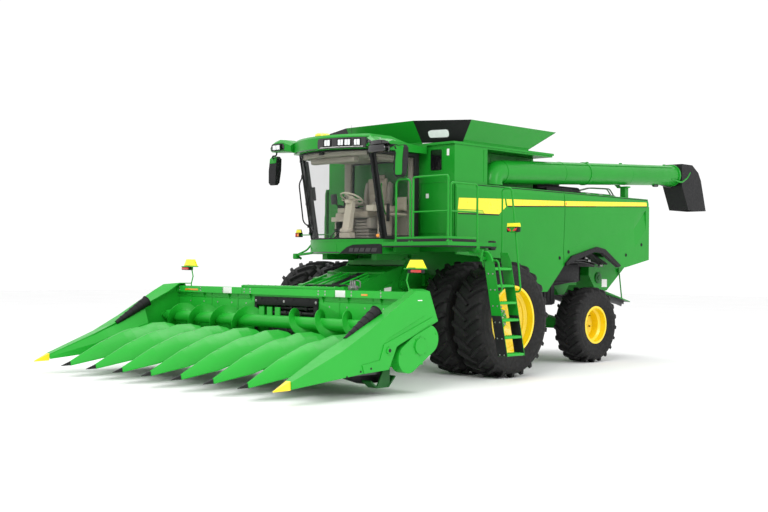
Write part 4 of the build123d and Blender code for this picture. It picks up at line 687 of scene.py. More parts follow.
def bow_y(x, z):
    """Where the windscreen's outer face stands."""
    foot = -1.444 - 0.3 * (z - 2.3) / 1.5
    return foot - 0.26 * (1 - (x / 0.89) ** 2)


def lamp_on(bm, tree, x, z, w, h, proud=0.012):
    """A rounded lens standing on a surface that faces ahead."""
    place, normal = ahead(tree, x, z)
    block(bm, -w / 2, w / 2, -h / 2, h / 2, -0.004, proud, 0.01, at(place, normal), 3)
    return place, normal


def oval(y0, y1, z0, z1, corner, count=6):
    """A rounded rectangle as an outline."""
    out = []
    for cy, cz, start in ((y1 - corner, z1 - corner, 0), (y0 + corner, z1 - corner, 90),
            (y0 + corner, z0 + corner, 180), (y1 - corner, z0 + corner, 270)):
        for k in range(count + 1):
            a = math.radians(start + 90 * k / count)
            out.append((cy + corner * math.cos(a), cz + corner * math.sin(a)))
    return out


def cab_outside():
    """The roof's lamps and fittings, the apron, the windscreen's edges and wiper, and the door's."""
    bm = bmesh.new()
    drape_front(bm, oval(0.0, 0.97, 3.806, 3.985, 0.045), ROOF, 0.01, 0.014, 0.08)
    drape_front(bm, [(0.965, 3.83), (1.34, 3.84), (1.34, 3.885), (1.2, 3.9), (0.965, 3.93)], ROOF,
        0.006, 0.01, 0.06)
    drape_front(bm, oval(-1.46, -1.1, 3.882, 4.01, 0.05), ROOF, 0.008, 0.012, 0.06)
    drape_front(bm, rect(-0.98, -0.02, 3.806, 3.822), ROOF, 0.006, 0.01, 0.08)
    block(bm, 1.005, 1.385, -1.935, -1.775, 3.705, 3.835, 0.035)
    block(bm, 0.955, 1.03, -1.8, -1.66, 3.76, 3.86, 0.02)
    piece("roof_lamp_band", bm, GLOSS_BLACK)

    bm = bmesh.new()
    rims = bmesh.new()
    for x, z, w, h in ((0.23, 3.905, 0.125, 0.105), (0.49, 3.903, 0.105, 0.1),
            (0.61, 3.902, 0.105, 0.1), (0.765, 3.9, 0.105, 0.1), (-1.28, 3.945, 0.21, 0.085)):
        place, normal = lamp_on(bm, ROOF, x, z, w, h, 0.024)
        frame_at = at(place, normal)
        for a, b in ((-1, 0), (1, 0), (0, -1), (0, 1)):
            cx, cy = a * (w / 2 + 0.006), b * (h / 2 + 0.006)
            dx, dy = 0.006 if a else w / 2 + 0.012, 0.006 if b else h / 2 + 0.012
            block(rims, *near(cx, dx), *near(cy, dy), 0.0, 0.03, 0.003, frame_at)
        block(rims, -0.004, 0.004, -h / 2, h / 2, 0.02, 0.0255, 0.001, frame_at)
    piece("roof_lamp_lenses", bm, LENS)
    piece("roof_lamp_bezels", rims, PLASTIC)

    bm = bmesh.new()
    drape_front(bm, rect(0.06, 0.86, 3.826, 3.834), ROOF, 0.013, 0.004, 0.08)
    piece("roof_trim_line", bm, WHITE)

    bm = bmesh.new()
    place, normal = ahead(ROOF, 0.93, 3.9)
    block(bm, -0.022, 0.022, -0.075, 0.075, 0.0, 0.055, 0.012, at(place, normal))
    block(bm, -0.25, -0.09, -1.94, -1.78, 4.04, 4.052)
    piece("roof_brackets", bm, GREEN)

    bm = bmesh.new()
    dome = [(0.0, 0.125), (0.018, 0.135), (0.045, 0.13), (0.066, 0.105), (0.076, 0.06),
        (0.078, 0.0)]
    lathe(bm, dome, (-0.17, -1.86, 4.05), UP, 40)
    block(bm, -0.27, -0.07, -1.91, -1.81, 4.044, 4.066, 0.008)
    piece("roof_receiver", bm, STRIPE)

    bm = bmesh.new()
    lathe(bm, [(0, 0.022), (0.012, 0.02), (0.016, 0.01), (0.05, 0.007), (0.2, 0.004),
        (0.34, 0.0025), (0.342, 0.0)], (-0.29, -1.05, 4.01), UP, 12)
    lathe(bm, [(0, 0.035), (0.01, 0.033), (0.026, 0.02), (0.028, 0.0)], (0.4, -0.95, 3.99), UP, 24)
    piece("roof_antenna", bm, PLASTIC)

    bm = bmesh.new()
    for x0, x1 in ((-0.72, -0.08), (0.08, 0.72)):
        for k in range(7):
            y = -1.28 + (-0.78 + 1.28) * k / 6
            top = touch(ROOF, ((x0 + x1) / 2, y, 5.0), DOWN)[0].z
            block(bm, x0, x1, *near(y, 0.012), top - 0.004, top + 0.012)
    piece("roof_louvres", bm, PLASTIC)

    # apron: moulding, vent slots and the bare badge place
    apron = skin("cab_floor")
    bm = bmesh.new()
    drape_front(bm, [(0.13, 2.052), (0.9, 2.052), (0.9, 2.205), (0.86, 2.22), (0.42, 2.205),
        (0.3, 2.165)], apron, 0.014, 0.02, 0.08)
    piece("apron_moulding", bm, PLASTIC)
    bm = bmesh.new()
    for k in range(5):
        drape_front(bm, [(0.34 + 0.1 * k, 2.085), (0.42 + 0.1 * k, 2.085), (0.44 + 0.1 * k, 2.15),
            (0.36 + 0.1 * k, 2.15)], apron, 0.018, 0.006, 0.06)
    drape_front(bm, rect(-0.89, 0.12, 2.062, 2.082), apron, 0.004, 0.008, 0.08)
    piece("apron_slots", bm, GLOSS_BLACK)
    bm = bmesh.new()
    drape_front(bm, rect(-0.89, 0.89, 2.268, 2.292), apron, 0.008, 0.012, 0.08)
    drape_front(bm, oval(-0.36, 0.06, 2.085, 2.235, 0.02), apron, 0.004, 0.01, 0.06)
    for x in (-0.8, -0.56, 0.02):
        place, normal = ahead(apron, x, 2.15)
        bolt(bm, place, normal, 0.008, 0.006)
    piece("apron_edge", bm, GREEN)

    # pillars: gaskets, hinges, handle, wiper
    bm = bmesh.new()
    for side in (-1, 1):
        heights = (2.32, (2.32 + 3.78) / 2, 3.78)
        sweep(bm, [(side * 0.88, bow_y(0.88, z) - 0.004, z) for z in heights], 0.013, 0, 8)
        for z in (2.45, 2.95, 3.45, 3.7):
            y = bow_y(0.88, z)
            block(bm, side * 0.872 - 0.02, side * 0.872 + 0.02, y - 0.02, y + 0.045,
                *near(z, 0.035), 0.006)
    for z, radius in ((2.312, 0.012), (3.785, 0.016)):
        across = (-0.88, -0.66, -0.44, -0.22, 0, 0.22, 0.44, 0.66, 0.88)
        sweep(bm, [(x, bow_y(x, z) - 0.003, z) for x in across], radius, 0, 8)
    low, high = bow_y(0.85, 2.32) + 0.015, bow_y(0.85, 3.69) + 0.015
    slab(bm, [(low, 2.32), (low + 0.13, 2.32), (high + 0.13, 3.69), (high, 3.69)], "x", -0.885,
        -0.815, 0.012)
    piece("windscreen_gasket", bm, PLASTIC)

    bm = bmesh.new()
    block(bm, -0.1, 0.02, bow_y(0, 3.7) - 0.03, bow_y(0, 3.7) - 0.006, 3.725, 3.765, 0.008)
    arm = [(-0.86, bow_y(0.86, 2.42) - 0.03, 2.42), (-0.8, bow_y(0.8, 2.5) - 0.045, 2.5),
        (-0.72, bow_y(0.72, 3.3) - 0.04, 3.3)]
    sweep(bm, arm, 0.009, 0.04, 8)
    blade = [(-0.74, bow_y(0.74, 2.72) - 0.016, 2.72), (-0.72, bow_y(0.72, 3.05) - 0.018, 3.05),
        (-0.66, bow_y(0.66, 3.55) - 0.016, 3.55)]
    sweep(bm, blade, 0.01, 0.05, 6)
    lathe(bm, [(0, 0.028), (0.03, 0.026), (0.036, 0.018), (0.036, 0.0)],
        (-0.86, bow_y(0.86, 2.42) - 0.004, 2.42), (0, -1, 0.2), 20)
    rail = [(-0.905, -1.52, 2.55), (-0.99, -1.56, 2.62), (-1.0, -1.66, 3.3), (-0.905, -1.66, 3.42)]
    sweep(bm, rail, 0.013, 0.06)
    for z, y in ((2.55, -1.5), (3.42, -1.66)):
        block(bm, -0.915, -0.89, *near(y, 0.03), *near(z, 0.03), 0.005)
    piece("windscreen_wiper", bm, PLASTIC)

    bm = bmesh.new()
    place, normal = ahead(skin("cab_glass"), 0.83, 2.36)
    lathe(bm, [(0, 0.03), (0.016, 0.03), (0.026, 0.022), (0.03, 0.0)], place, normal, 24)
    piece("apron_marker", bm, AMBER)

    # door: lock, seal and a grab bar inside
    bm = bmesh.new()
    block(bm, 0.93, 0.948, -1.4, -1.33, 2.6, 2.9, 0.006)
    lathe(bm, [(0, 0.018), (0.01, 0.018), (0.014, 0.012), (0.014, 0.0)], (0.948, -1.365, 2.66),
        (1, 0, 0), 16)
    seal = [(0.9335, -1.4, 2.37), (0.9335, -0.71, 2.37), (0.9335, -0.71, 3.73),
        (0.9335, -1.67, 3.73), (0.9335, -1.4, 2.37)]
    sweep(bm, seal, 0.006, 0.03, 6)
    piece("door_lock", bm, PLASTIC, "cab_door")
    bm = bmesh.new()
    sweep(bm, [(0.885, -1.36, 2.72), (0.845, -1.36, 2.78), (0.845, -1.45, 3.18),
        (0.885, -1.47, 3.24)], 0.012, 0.04)
    piece("door_grab_bar", bm, GREEN, "cab_door")


def mirror_glass():
    """The mirrors' glass behind and their green shells ahead."""
    heads = skin("mirrors")
    for side, name in SIDES:
        bm = bmesh.new()
        outline = [(side * x, z) for x, z in oval(1.5, 1.66, 3.335, 3.775, 0.03)][::side]
        drape(bm, outline, heads, 4.0, FORE, 0.002, 0.004, 0.1)
        piece(f"{name}_mirror_glass", bm, REFLECTOR)
        bm = bmesh.new()
        if side > 0:
            drape_front(bm, oval(1.525, 1.672, 3.325, 3.8, 0.03), heads, 0.008, 0.012, 0.06)
        else:
            drape_front(bm, [(-x, z) for x, z in oval(1.49, 1.672, 3.69, 3.812, 0.03)][::-1], heads,
                0.006, 0.01, 0.06)
        piece(f"{name}_mirror_shell", bm, GREEN)


def cab_interior():
    """Liner, floor mat, steering wheel, pedals, displays and console."""
    bm = bmesh.new()
    plan = [(-0.8, -1.745), (-0.52, -1.885), (-0.2, -1.955), (0.2, -1.955), (0.52, -1.885),
        (0.8, -1.745), (0.8, -0.62), (-0.8, -0.62)]
    slab(bm, plan, "z", 3.7, 3.795, 0.015)
    block(bm, -0.55, 0.55, -1.8, -1.68, 3.6, 3.7, 0.03)
    block(bm, 0.5, 0.78, -1.45, -0.75, 3.655, 3.702, 0.02)
    block(bm, -0.885, -0.715, -0.66, -0.602, 2.31, 3.74, 0.02)
    block(bm, 0.715, 0.823, -0.66, -0.602, 2.31, 3.74, 0.02)
    block(bm, -0.716, 0.716, -0.655, -0.602, 2.31, 2.915, 0.02)
    piece("cab_liner", bm, TAUPE)

    bm = bmesh.new()
    slab(bm, [(-0.8, -1.5), (-0.4, -1.6), (0, -1.63), (0.4, -1.6), (0.8, -1.5), (0.8, -0.67),
        (-0.8, -0.67)], "z", 2.3005, 2.312, 0.004)
    for k in range(9):
        block(bm, -0.7 + 0.15 * k, -0.62 + 0.15 * k, -1.45, -1.2, 2.31, 2.318, 0.003)
    piece("floor_mat", bm, PLASTIC)

    # column cover, wheel boss and spokes, pedals, displays and the armrest's controls
    tilt = (0, 0.42, 0.9)
    bm = bmesh.new()
    wheel = at((0, -1.312, 3.025), tilt)
    for k in range(3):
        a = math.radians(90 + 120 * k)
        spoke = ((0.03, -0.006), (0.19, 0.004))
        sweep(bm, [wheel @ Vector((r * math.cos(a), r * math.sin(a), h)) for r, h in spoke], 0.013,
            0, 8)
    lathe(bm, [(-0.035, 0.05), (-0.01, 0.062), (0.012, 0.06), (0.022, 0.045), (0.024, 0.0)],
        (0, -1.312, 3.025), tilt, 28)
    block(bm, -0.11, 0.11, -1.505, -1.38, 2.42, 2.5, 0.03)
    block(bm, -0.055, 0.055, -1.44, -1.34, 2.93, 3.0, 0.02)
    sweep(bm, [(-0.05, -1.37, 2.97), (-0.16, -1.36, 2.99), (-0.21, -1.35, 3.0)], 0.008, 0.03, 8)
    sweep(bm, [(0.05, -1.37, 2.97), (0.15, -1.36, 2.98)], 0.008, 0.03, 8)
    piece("steering_boss", bm, BEIGE)

    bm = bmesh.new()
    for x in (-0.36, -0.24):
        sweep(bm, [(x, -1.5, 2.315), (x, -1.42, 2.4), (x, -1.34, 2.46)], 0.01, 0.04, 8)
        block(bm, -0.045, 0.045, -0.035, 0.035, -0.006, 0.006, 0.004,
            at((x, -1.335, 2.465), (0, 0.6, 0.8)))
    for px, py, pz, w, h in ((-0.785, -1.5, 3.12, 0.16, 0.24), (-0.42, -1.34, 3.02, 0.24, 0.18)):
        block(bm, -w / 2, w / 2, -h / 2, h / 2, -0.018, 0.012, 0.01,
            at((px, py, pz), (0.35, 0.92, 0.12)))
    sweep(bm, [(-0.85, -1.5, 3.05), (-0.8, -1.49, 3.06)], 0.014, 0, 8)
    sweep(bm, [(-0.4, -1.1, 2.9), (-0.42, -1.28, 2.92), (-0.42, -1.345, 2.99)], 0.012, 0.04, 8)
    block(bm, -0.48, -0.32, -1.22, -0.8, 2.872, 2.905, 0.012)
    lathe(bm, [(0, 0.022), (0.07, 0.018), (0.1, 0.03), (0.15, 0.032), (0.17, 0.02), (0.172, 0)],
        (-0.37, -1.12, 2.9), (0, -0.15, 1), 16)
    piece("cab_displays", bm, PLASTIC)
    bm = bmesh.new()
    for px, py, pz, w, h in ((-0.785, -1.5, 3.12, 0.13, 0.2), (-0.42, -1.34, 3.02, 0.21, 0.15)):
        block(bm, -w / 2, w / 2, -h / 2, h / 2, 0.011, 0.014, 0.001,
            at((px, py, pz), (0.35, 0.92, 0.12)))
    piece("display_screens", bm, SCREEN)
    bm = bmesh.new()
    block(bm, -0.49, -0.31, -1.2, -0.72, 2.78, 2.875, 0.02)
    block(bm, -0.76, -0.5, -1.0, -0.68, 2.32, 2.8, 0.03)
    for k in range(4):
        lathe(bm, [(0, 0.012), (0.01, 0.01), (0.012, 0)], (-0.44 + 0.04 * k, -0.92, 2.874), UP, 12)
    piece("armrest_console", bm, BEIGE)


def pad(bm, matrix, w, d, h, channels=0):
    """A crowned cushion: sides pull in between the corners, channels are sewn grooves on its upper
    face."""
    nx, ny, nz = 26, 26, 6
    grid = {}

    def shape(u, v, s):
        edge = (1 - abs(u) ** 5) * (1 - abs(v) ** 5)
        pull = 1 + 0.03 * (1 - abs(s) ** 2)
        x = u * w / 2 * (1 - 0.025 * (1 - v * v)) * pull
        y = v * d / 2 * (1 - 0.025 * (1 - u * u)) * pull
        z = s * h / 2 * (0.62 + 0.38 * edge**0.5)
        if s > 0.2:
            z += 0.35 * h * 0.5 * edge * s
            if channels:
                groove = abs(math.sin(math.pi * channels * (v + 1) / 2))
                z -= h * 0.16 * (1 - groove**0.5) * s * edge
        return matrix @ Vector((x, y, z))

    for i in range(nx + 1):
        for j in range(ny + 1):
            for k in range(nz + 1):
                if i in (0, nx) or j in (0, ny) or k in (0, nz):
                    u, v, s = 2 * i / nx - 1, 2 * j / ny - 1, 2 * k / nz - 1
                    grid[(i, j, k)] = bm.verts.new(shape(u, v, s))
    faces = []
    steps = (nx, ny, nz)
    for a, b, c in ((0, 1, 2), (0, 2, 1), (1, 2, 0)):
        for p in range(steps[a]):
            for q in range(steps[b]):
                for r in (0, steps[c]):
                    corners = []
                    for dp, dq in ((0, 0), (1, 0), (1, 1), (0, 1)):
                        key = [0, 0, 0]
                        key[a], key[b], key[c] = p + dp, q + dq, r
                        corners.append(grid[tuple(key)])
                    faces.append(bm.faces.new(corners))
    bmesh.ops.recalc_face_normals(bm, faces=faces)


def stuffed(bm, voxel=0.008, limit=0.01, frames=20, pressure=4.0):
    """Blows closed cushions up as cloth with pressure inside them; no point moves further than
    limit."""
    mesh = bpy.data.meshes.new("cloth_form")
    bm.to_mesh(mesh)
    bm.free()
    form = bpy.data.objects.new("cloth_form", mesh)
    bpy.context.scene.collection.objects.link(form)
    remesh = form.modifiers.new("remesh", "REMESH")
    remesh.mode = "VOXEL"
    remesh.voxel_size = voxel
    graph = bpy.context.evaluated_depsgraph_get()
    form.data = bpy.data.meshes.new_from_object(form.evaluated_get(graph))
    form.modifiers.clear()
    start = [v.co.copy() for v in form.data.vertices]
    cloth = form.modifiers.new("cloth", "CLOTH")
    cloth.settings.use_pressure = True
    cloth.settings.uniform_pressure_force = pressure
    cloth.settings.effector_weights.gravity = 0.0
    cloth.settings.quality = 4
    cloth.point_cache.frame_start = 1
    cloth.point_cache.frame_end = frames
    for frame_number in range(1, frames + 1):
        bpy.context.scene.frame_set(frame_number)
    graph = bpy.context.evaluated_depsgraph_get()
    blown = form.evaluated_get(graph).to_mesh()
    moved = [v.co.copy() for v in blown.vertices]
    form.evaluated_get(graph).to_mesh_clear()
    form.modifiers.clear()
    bpy.context.scene.frame_set(1)
    for v, a, b in zip(form.data.vertices, start, moved):
        step = b - a
        v.co = a + step * min(1.0, limit / max(step.length, 1e-9))
    out = bmesh.new()
    out.from_mesh(form.data)
    bpy.data.objects.remove(form)
    bmesh.ops.smooth_vert(out, verts=out.verts[:], factor=0.5, use_axis_x=True, use_axis_y=True,
        use_axis_z=True)
    return out


def piping(bm, matrix, w, d, z, corner=0.045, radius=0.0042):
    """A sewn cord round a cushion's edge."""
    ring = [matrix @ Vector((x, y, z)) for x, y in oval(-w / 2, w / 2, -d / 2, d / 2, corner, 5)]
    ring = [p for p, q in zip(ring, ring[1:] + ring[:1]) if (p - q).length > 1e-4]
    sweep(bm, ring + [ring[0]], radius, 0, 6)


def seat():
    """The driver's seat and the one beside it; their cushions are blown up as cloth."""
    back = Matrix.Translation((0, -0.652, 3.13)) @ Matrix.Rotation(math.radians(94), 4, "X")
    bm = bmesh.new()
    squab = Matrix.Translation((0, -0.955, 2.742))
    pad(bm, squab, 0.485, 0.425, 0.085, 3)
    pad(bm, back, 0.455, 0.545, 0.075, 4)
    pad(bm, Matrix.Translation((0, -0.628, 3.435)) @ Matrix.Rotation(math.radians(94), 4, "X"),
        0.26, 0.088, 0.062)
    bm = stuffed(bm)
    piping(bm, squab, 0.487, 0.427, 0.022)
    piping(bm, back, 0.457, 0.547, 0.016)
    cushions = piece("seat_cushions", bm, FABRIC, angle=60)
    bm = bmesh.new()
    block(bm, -0.235, 0.235, -1.165, -0.735, 2.69, 2.705, 0.006)
    for k in range(6):
        z = 2.32 + 0.058 * k
        grow = 0.012 if k % 2 else 0.0
        block(bm, -0.165 - grow * 0.3, 0.165 + grow * 0.3, -1.07 - grow * 0.3, -0.765 + grow * 0.3,
            z, z + 0.052, 0.022)
    for x in (-0.115, 0.115):
        sweep(bm, [(x, -0.63, 3.36), (x, -0.62, 3.42)], 0.008, 0, 8)
    for side in (-1, 1):
        block(bm, *span(side, 0.175, 0.255), -1.12, -0.78, 2.5, 2.69, 0.025)
        slab(bm, [(-0.72, 2.8), (-0.625, 2.8), (-0.6, 3.3), (-0.66, 3.34), (-0.7, 3.2)], "x",
            *span(side, 0.24, 0.325), 0.022)
        slab(bm, [(-1.1, 2.9), (-0.7, 2.93), (-0.7, 2.99), (-1.09, 2.965)], "x",
            *span(side, 0.27, 0.325), 0.018)
    piece("seat_base", bm, TAUPE)
    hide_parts("driver_seat")
    bm = bmesh.new()
    pad(bm, Matrix.Translation((0.64, -0.875, 2.736)), 0.29, 0.31, 0.044, 2)
    pad(bm, Matrix.Translation((0.64, -0.735, 2.93)) @ Matrix.Rotation(math.radians(92), 4, "X"),
        0.27, 0.25, 0.052, 2)
    bm = stuffed(bm, 0.007, 0.006)
    buddy = piece("side_seat_cushions", bm, FABRIC, angle=60)


cab_outside()
mirror_glass()
cab_interior()
seat()


# ---------------------------------------------------------------- body
# For each panel: piece, finish, slot, the film's (lift, thickness, step) and its (y, z) outlines
STRIPES = {
    "front": (
        ("front_stripe", STRIPE, None, (0.0024, 0.006, 0.1), (
            ((-0.37, 3.022), (0.875, 3.062), (0.905, 2.925), (0.7, 2.782), (0.3, 2.778),
                (0.268, 2.838),
             (-0.395, 2.832)),
            ((0.925, 3.062), (2.676, 3.11), (2.676, 3.015), (0.94, 2.944)),
        )),
        ("lime_stripe", LIME, None, (0.0024, 0.006, 0.1), (
            ((-0.395, 2.822), (0.262, 2.83), (0.29, 2.776), (-0.402, 2.766)),
        )),
        ("front_underline", CHASSIS, "black_plastic", (0.002, 0.006, 0.1), (
            ((-0.402, 2.766), (0.706, 2.782), (0.694, 2.758), (-0.402, 2.742)),
            ((0.955, 2.945), (2.676, 3.015), (2.676, 2.996), (0.955, 2.921)),
        )),
    ),
    "rear": (
        ("rear_stripe", STRIPE, None, (0.0045, 0.007, 0.05), (
            ((2.705, 3.111), (5.585, 3.22), (5.585, 3.14), (2.705, 3.016)),
        )),
        ("rear_underline", CHASSIS, "black_plastic", (0.004, 0.007, 0.05), (
            ((2.705, 3.016), (5.585, 3.14), (5.585, 3.122), (2.705, 2.997)),
        )),
    ),
}
LATCHES = {"front": ((2.558, 2.031), (1.75, 1.66)),
    "rear": ((2.847, 2.15), (5.38, 2.34), (4.8, 2.12))}


def stripes():
    """The side panels' stripes, latches and top seals, and the louvres of the machine's right."""
    for side, name in SIDES:
        for part in ("front", "rear"):
            body = f"{name}_{part}_panel"
            tree = skin(body)
            for what, finish, slot, film, outlines in STRIPES[part]:
                bm = bmesh.new()
                for outline in outlines:
                    drape_side(bm, outline, tree, side, *film)
                piece(f"{name}_{what}", bm, finish, body)
            if part == "rear":
                bm = bmesh.new()
                place, normal = beside(tree, side, 2.735, 3.06)
                lathe(bm, [(0, 0.026), (0.008, 0.026), (0.012, 0.02), (0.013, 0.0)], place, normal,
                    24)
                piece(f"{name}_seam_marker", bm, AMBER, body)
            bm = bmesh.new()
            for y, z in LATCHES[part]:
                place, normal = beside(tree, side, y, z)
                profile = [(-0.002, 0.034), (0.004, 0.034), (0.006, 0.03), (0.003, 0.026),
                    (0.003, 0.0)]
                lathe(bm, profile, place, normal, 24)
                block(bm, -0.005, 0.005, -0.02, 0.02, 0.002, 0.008, 0.002, at(place, normal))
            piece(f"{name}_{part}_latches", bm, PLASTIC, body)
            bm = bmesh.new()
            low, high = (-0.42, 2.67) if part == "front" else (2.71, 5.66)
            drape_side(bm, rect(low, high, 3.262, 3.276), tree, side, 0.004, 0.006, 0.2)
            if (part, name) == ("rear", "right"):
                for k in range(5):
                    y = 2.98 + 0.3 * k
                    for j in range(4):
                        z = 2.46 + 0.055 * k + 0.045 * j
                        louvre = [(y, z), (y + 0.21, z + 0.036), (y + 0.21, z + 0.052),
                            (y, z + 0.016)]
                        drape_side(bm, louvre, tree, side, 0.003, 0.005, 0.3)
            piece(f"{name}_{part}_seal", bm, PLASTIC, body)


def tank_fittings():
    """Window, trim and plates of the tank's front, its side ribs, floor screws and loading tube."""
    bm = bmesh.new()
    tank = skin("grain_tank")
    drape_front(bm, oval(1.03, 1.282, 3.512, 3.866, 0.03), tank, 0.01, 0.014, 0.4)
    piece("tank_window", bm, GLOSS_BLACK)
    bm = bmesh.new()
    place, normal = ahead(tank, 1.156, 3.69)
    m = at(place, normal)
    for side in (1, -1):
        block(bm, -0.15, 0.15, *span(side, 0.185, 0.205), 0, 0.014, 0.004, m)
        block(bm, *span(side, 0.134, 0.15), -0.19, 0.19, 0, 0.014, 0.004, m)
    for z in (3.3, 2.42):
        drape_front(bm, rect(0.74, 1.52, z, z + 0.03), tank, 0.01, 0.012, 0.4)
    for x in (0.78, 1.5):
        drape_front(bm, rect(x, x + 0.03, 2.42, 3.3), tank, 0.01, 0.012, 0.4)
        for k in range(5):
            place, normal = ahead(tank, x + 0.015, 2.5 + 0.18 * k)
            bolt(bm, place + normal * 0.009, normal, 0.008, 0.006)
    piece("tank_front_trim", bm, GREEN)
    bm = bmesh.new()
    for x0, x1, z0, z1 in ((1.395, 1.45, 3.755, 3.87), (0.915, 0.985, 3.035, 3.115)):
        drape_front(bm, oval(x0, x1, z0, z1, 0.008), tank, 0.002, 0.004, 0.4)
    piece("tank_blank_plates", bm, WHITE)

    # ribs of the tank's side walls
    bm = bmesh.new()
    for side in (1, -1):
        for y in (0.4, 1.15, 1.9):
            drape_side(bm, rect(y - 0.022, y + 0.022, 3.34, 3.9), tank, side, 0.006, 0.01, 0.3)
    piece("tank_side_ribs", bm, GREEN)

    # inside the tank: floor screws with closed flights, and the loading tube
    bm = bmesh.new()
    for x in (-0.28, 0.28):
        turns, count = 8.0, 150
        y0, y1, axis_z = -0.28, 1.85, 3.02
        rings = []
        for k in range(count + 1):
            a = 2 * math.pi * turns * k / count
            y = y0 + (y1 - y0) * k / count
            section = ((0.03, -0.003), (0.12, -0.003), (0.12, 0.003), (0.03, 0.003))
            c, s = math.cos(a), math.sin(a)
            rings.append([bm.verts.new((x + r * c, y + dy, axis_z + r * s)) for r, dy in section])
        loft(bm, rings)
        lathe(bm, [(0, 0.032), (2.13, 0.032)], (x, y0, axis_z), AFT, 16)
    piece("tank_floor_screws", bm, STEEL)
    bm = bmesh.new()
    sweep(bm, [(-1.05, 1.55, 3.1), (-0.55, 1.05, 3.62), (-0.35, 0.85, 3.8)], 0.13, 0.1, 24)
    lathe(bm, [(0, 0.145), (0.06, 0.145), (0.07, 0.135)], (-0.38, 0.88, 3.775), (0.42, -0.42, 0.8),
        28)
    piece("tank_loading_tube", bm, GREEN)


def corner_panes():
    """Clear panes in the black corner panels."""
    tree = skin("tank_corner_panels")
    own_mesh(NODES["tank_corner_panels"])
    for side, name in SIDES:
        bm = bmesh.new()
        start = Vector((side * 1.36, -0.56, 4.16))
        way = Vector((-side * 0.62, 0.72, -0.16)).normalized()
        place, normal = touch(tree, start - way * 1.5, way)
        # the pane takes the whitish lens finish: a painted reflection of the white surroundings
        plate(bm, oval(-0.2, 0.18, -0.035, 0.105, 0.05), at(place, normal), 0.001, 0.007)
        pane = piece(f"{name}_corner_pane", bm, LENS)
        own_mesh(pane)


def auger_trim():
    """Bands and line of the unloading tube, and the bracket and actuator of its spout."""
    bm = bmesh.new()
    root, end = Vector((1.42, 0.76, 3.548)), Vector((1.42, 7.06, 3.885))
    way = (end - root).normalized()
    for dist, foot, top, r in ((2.05, 0.022, 0.018, 0.2205), (4.35, 0.005, 0.003, 0.2172)):
        lathe(bm, [(-foot, 0.215), (-top, r), (top, r), (foot, 0.215)], root + way * dist, way, 64)
    for dist in (1.2, 3.0, 4.2, 5.9):
        spot = root + way * dist + Vector((0, 0, 0.215))
        block(bm, -0.02, 0.02, -0.03, 0.03, -0.005, 0.022, 0.004,
            at(spot, (0, -0.05, 1), (0, 1, 0)))
    sweep(bm, [root + way * dist + Vector((0.15, 0, 0.165)) for dist in (1.1, 6.0)], 0.008, 0, 8)
    piece("auger_bands", bm, GREEN, "unloading_auger")

    bm = bmesh.new()
    tip = root + way * 6.18
    lathe(bm, [(-0.025, 0.2155), (-0.025, 0.236), (0.02, 0.238), (0.02, 0.2155)], tip, way, 64)
    for side, x in ((1, 0.235), (-1, 0.225)):
        arm = ((side * 0.19, -0.3, -0.1), (side * x, 0.05, -0.16), (side * 0.225, 0.3, -0.05),
            (side * 0.225, 0.42, 0.08))
        sweep(bm, [tip + Vector(p) for p in arm], 0.02, 0.06, 8)
    sweep(bm, [tip + Vector((x, -0.28, -0.2)) for x in (-0.12, 0.12)], 0.018, 0, 8)
    piece("spout_bracket", bm, GREEN, "unloading_auger")
    bm = bmesh.new()
    bolt_ring(bm, tip + way * 0.02, way, 0.226, 12, 0.007, 0.007)
    rod = ((0.05, -0.55, -0.225), (0.03, -0.2, -0.262), (0.0, 0.0, -0.255))
    sweep(bm, [tip + Vector(p) for p in rod], 0.014, 0.05, 8)
    lathe(bm, [(-0.03, 0.03), (0.0, 0.035), (0.12, 0.035), (0.14, 0.02)],
        tip + Vector((0.06, -0.78, -0.262)), (0, 1, 0.05), 20)
    piece("spout_actuator", bm, DARK_STEEL, "unloading_auger")


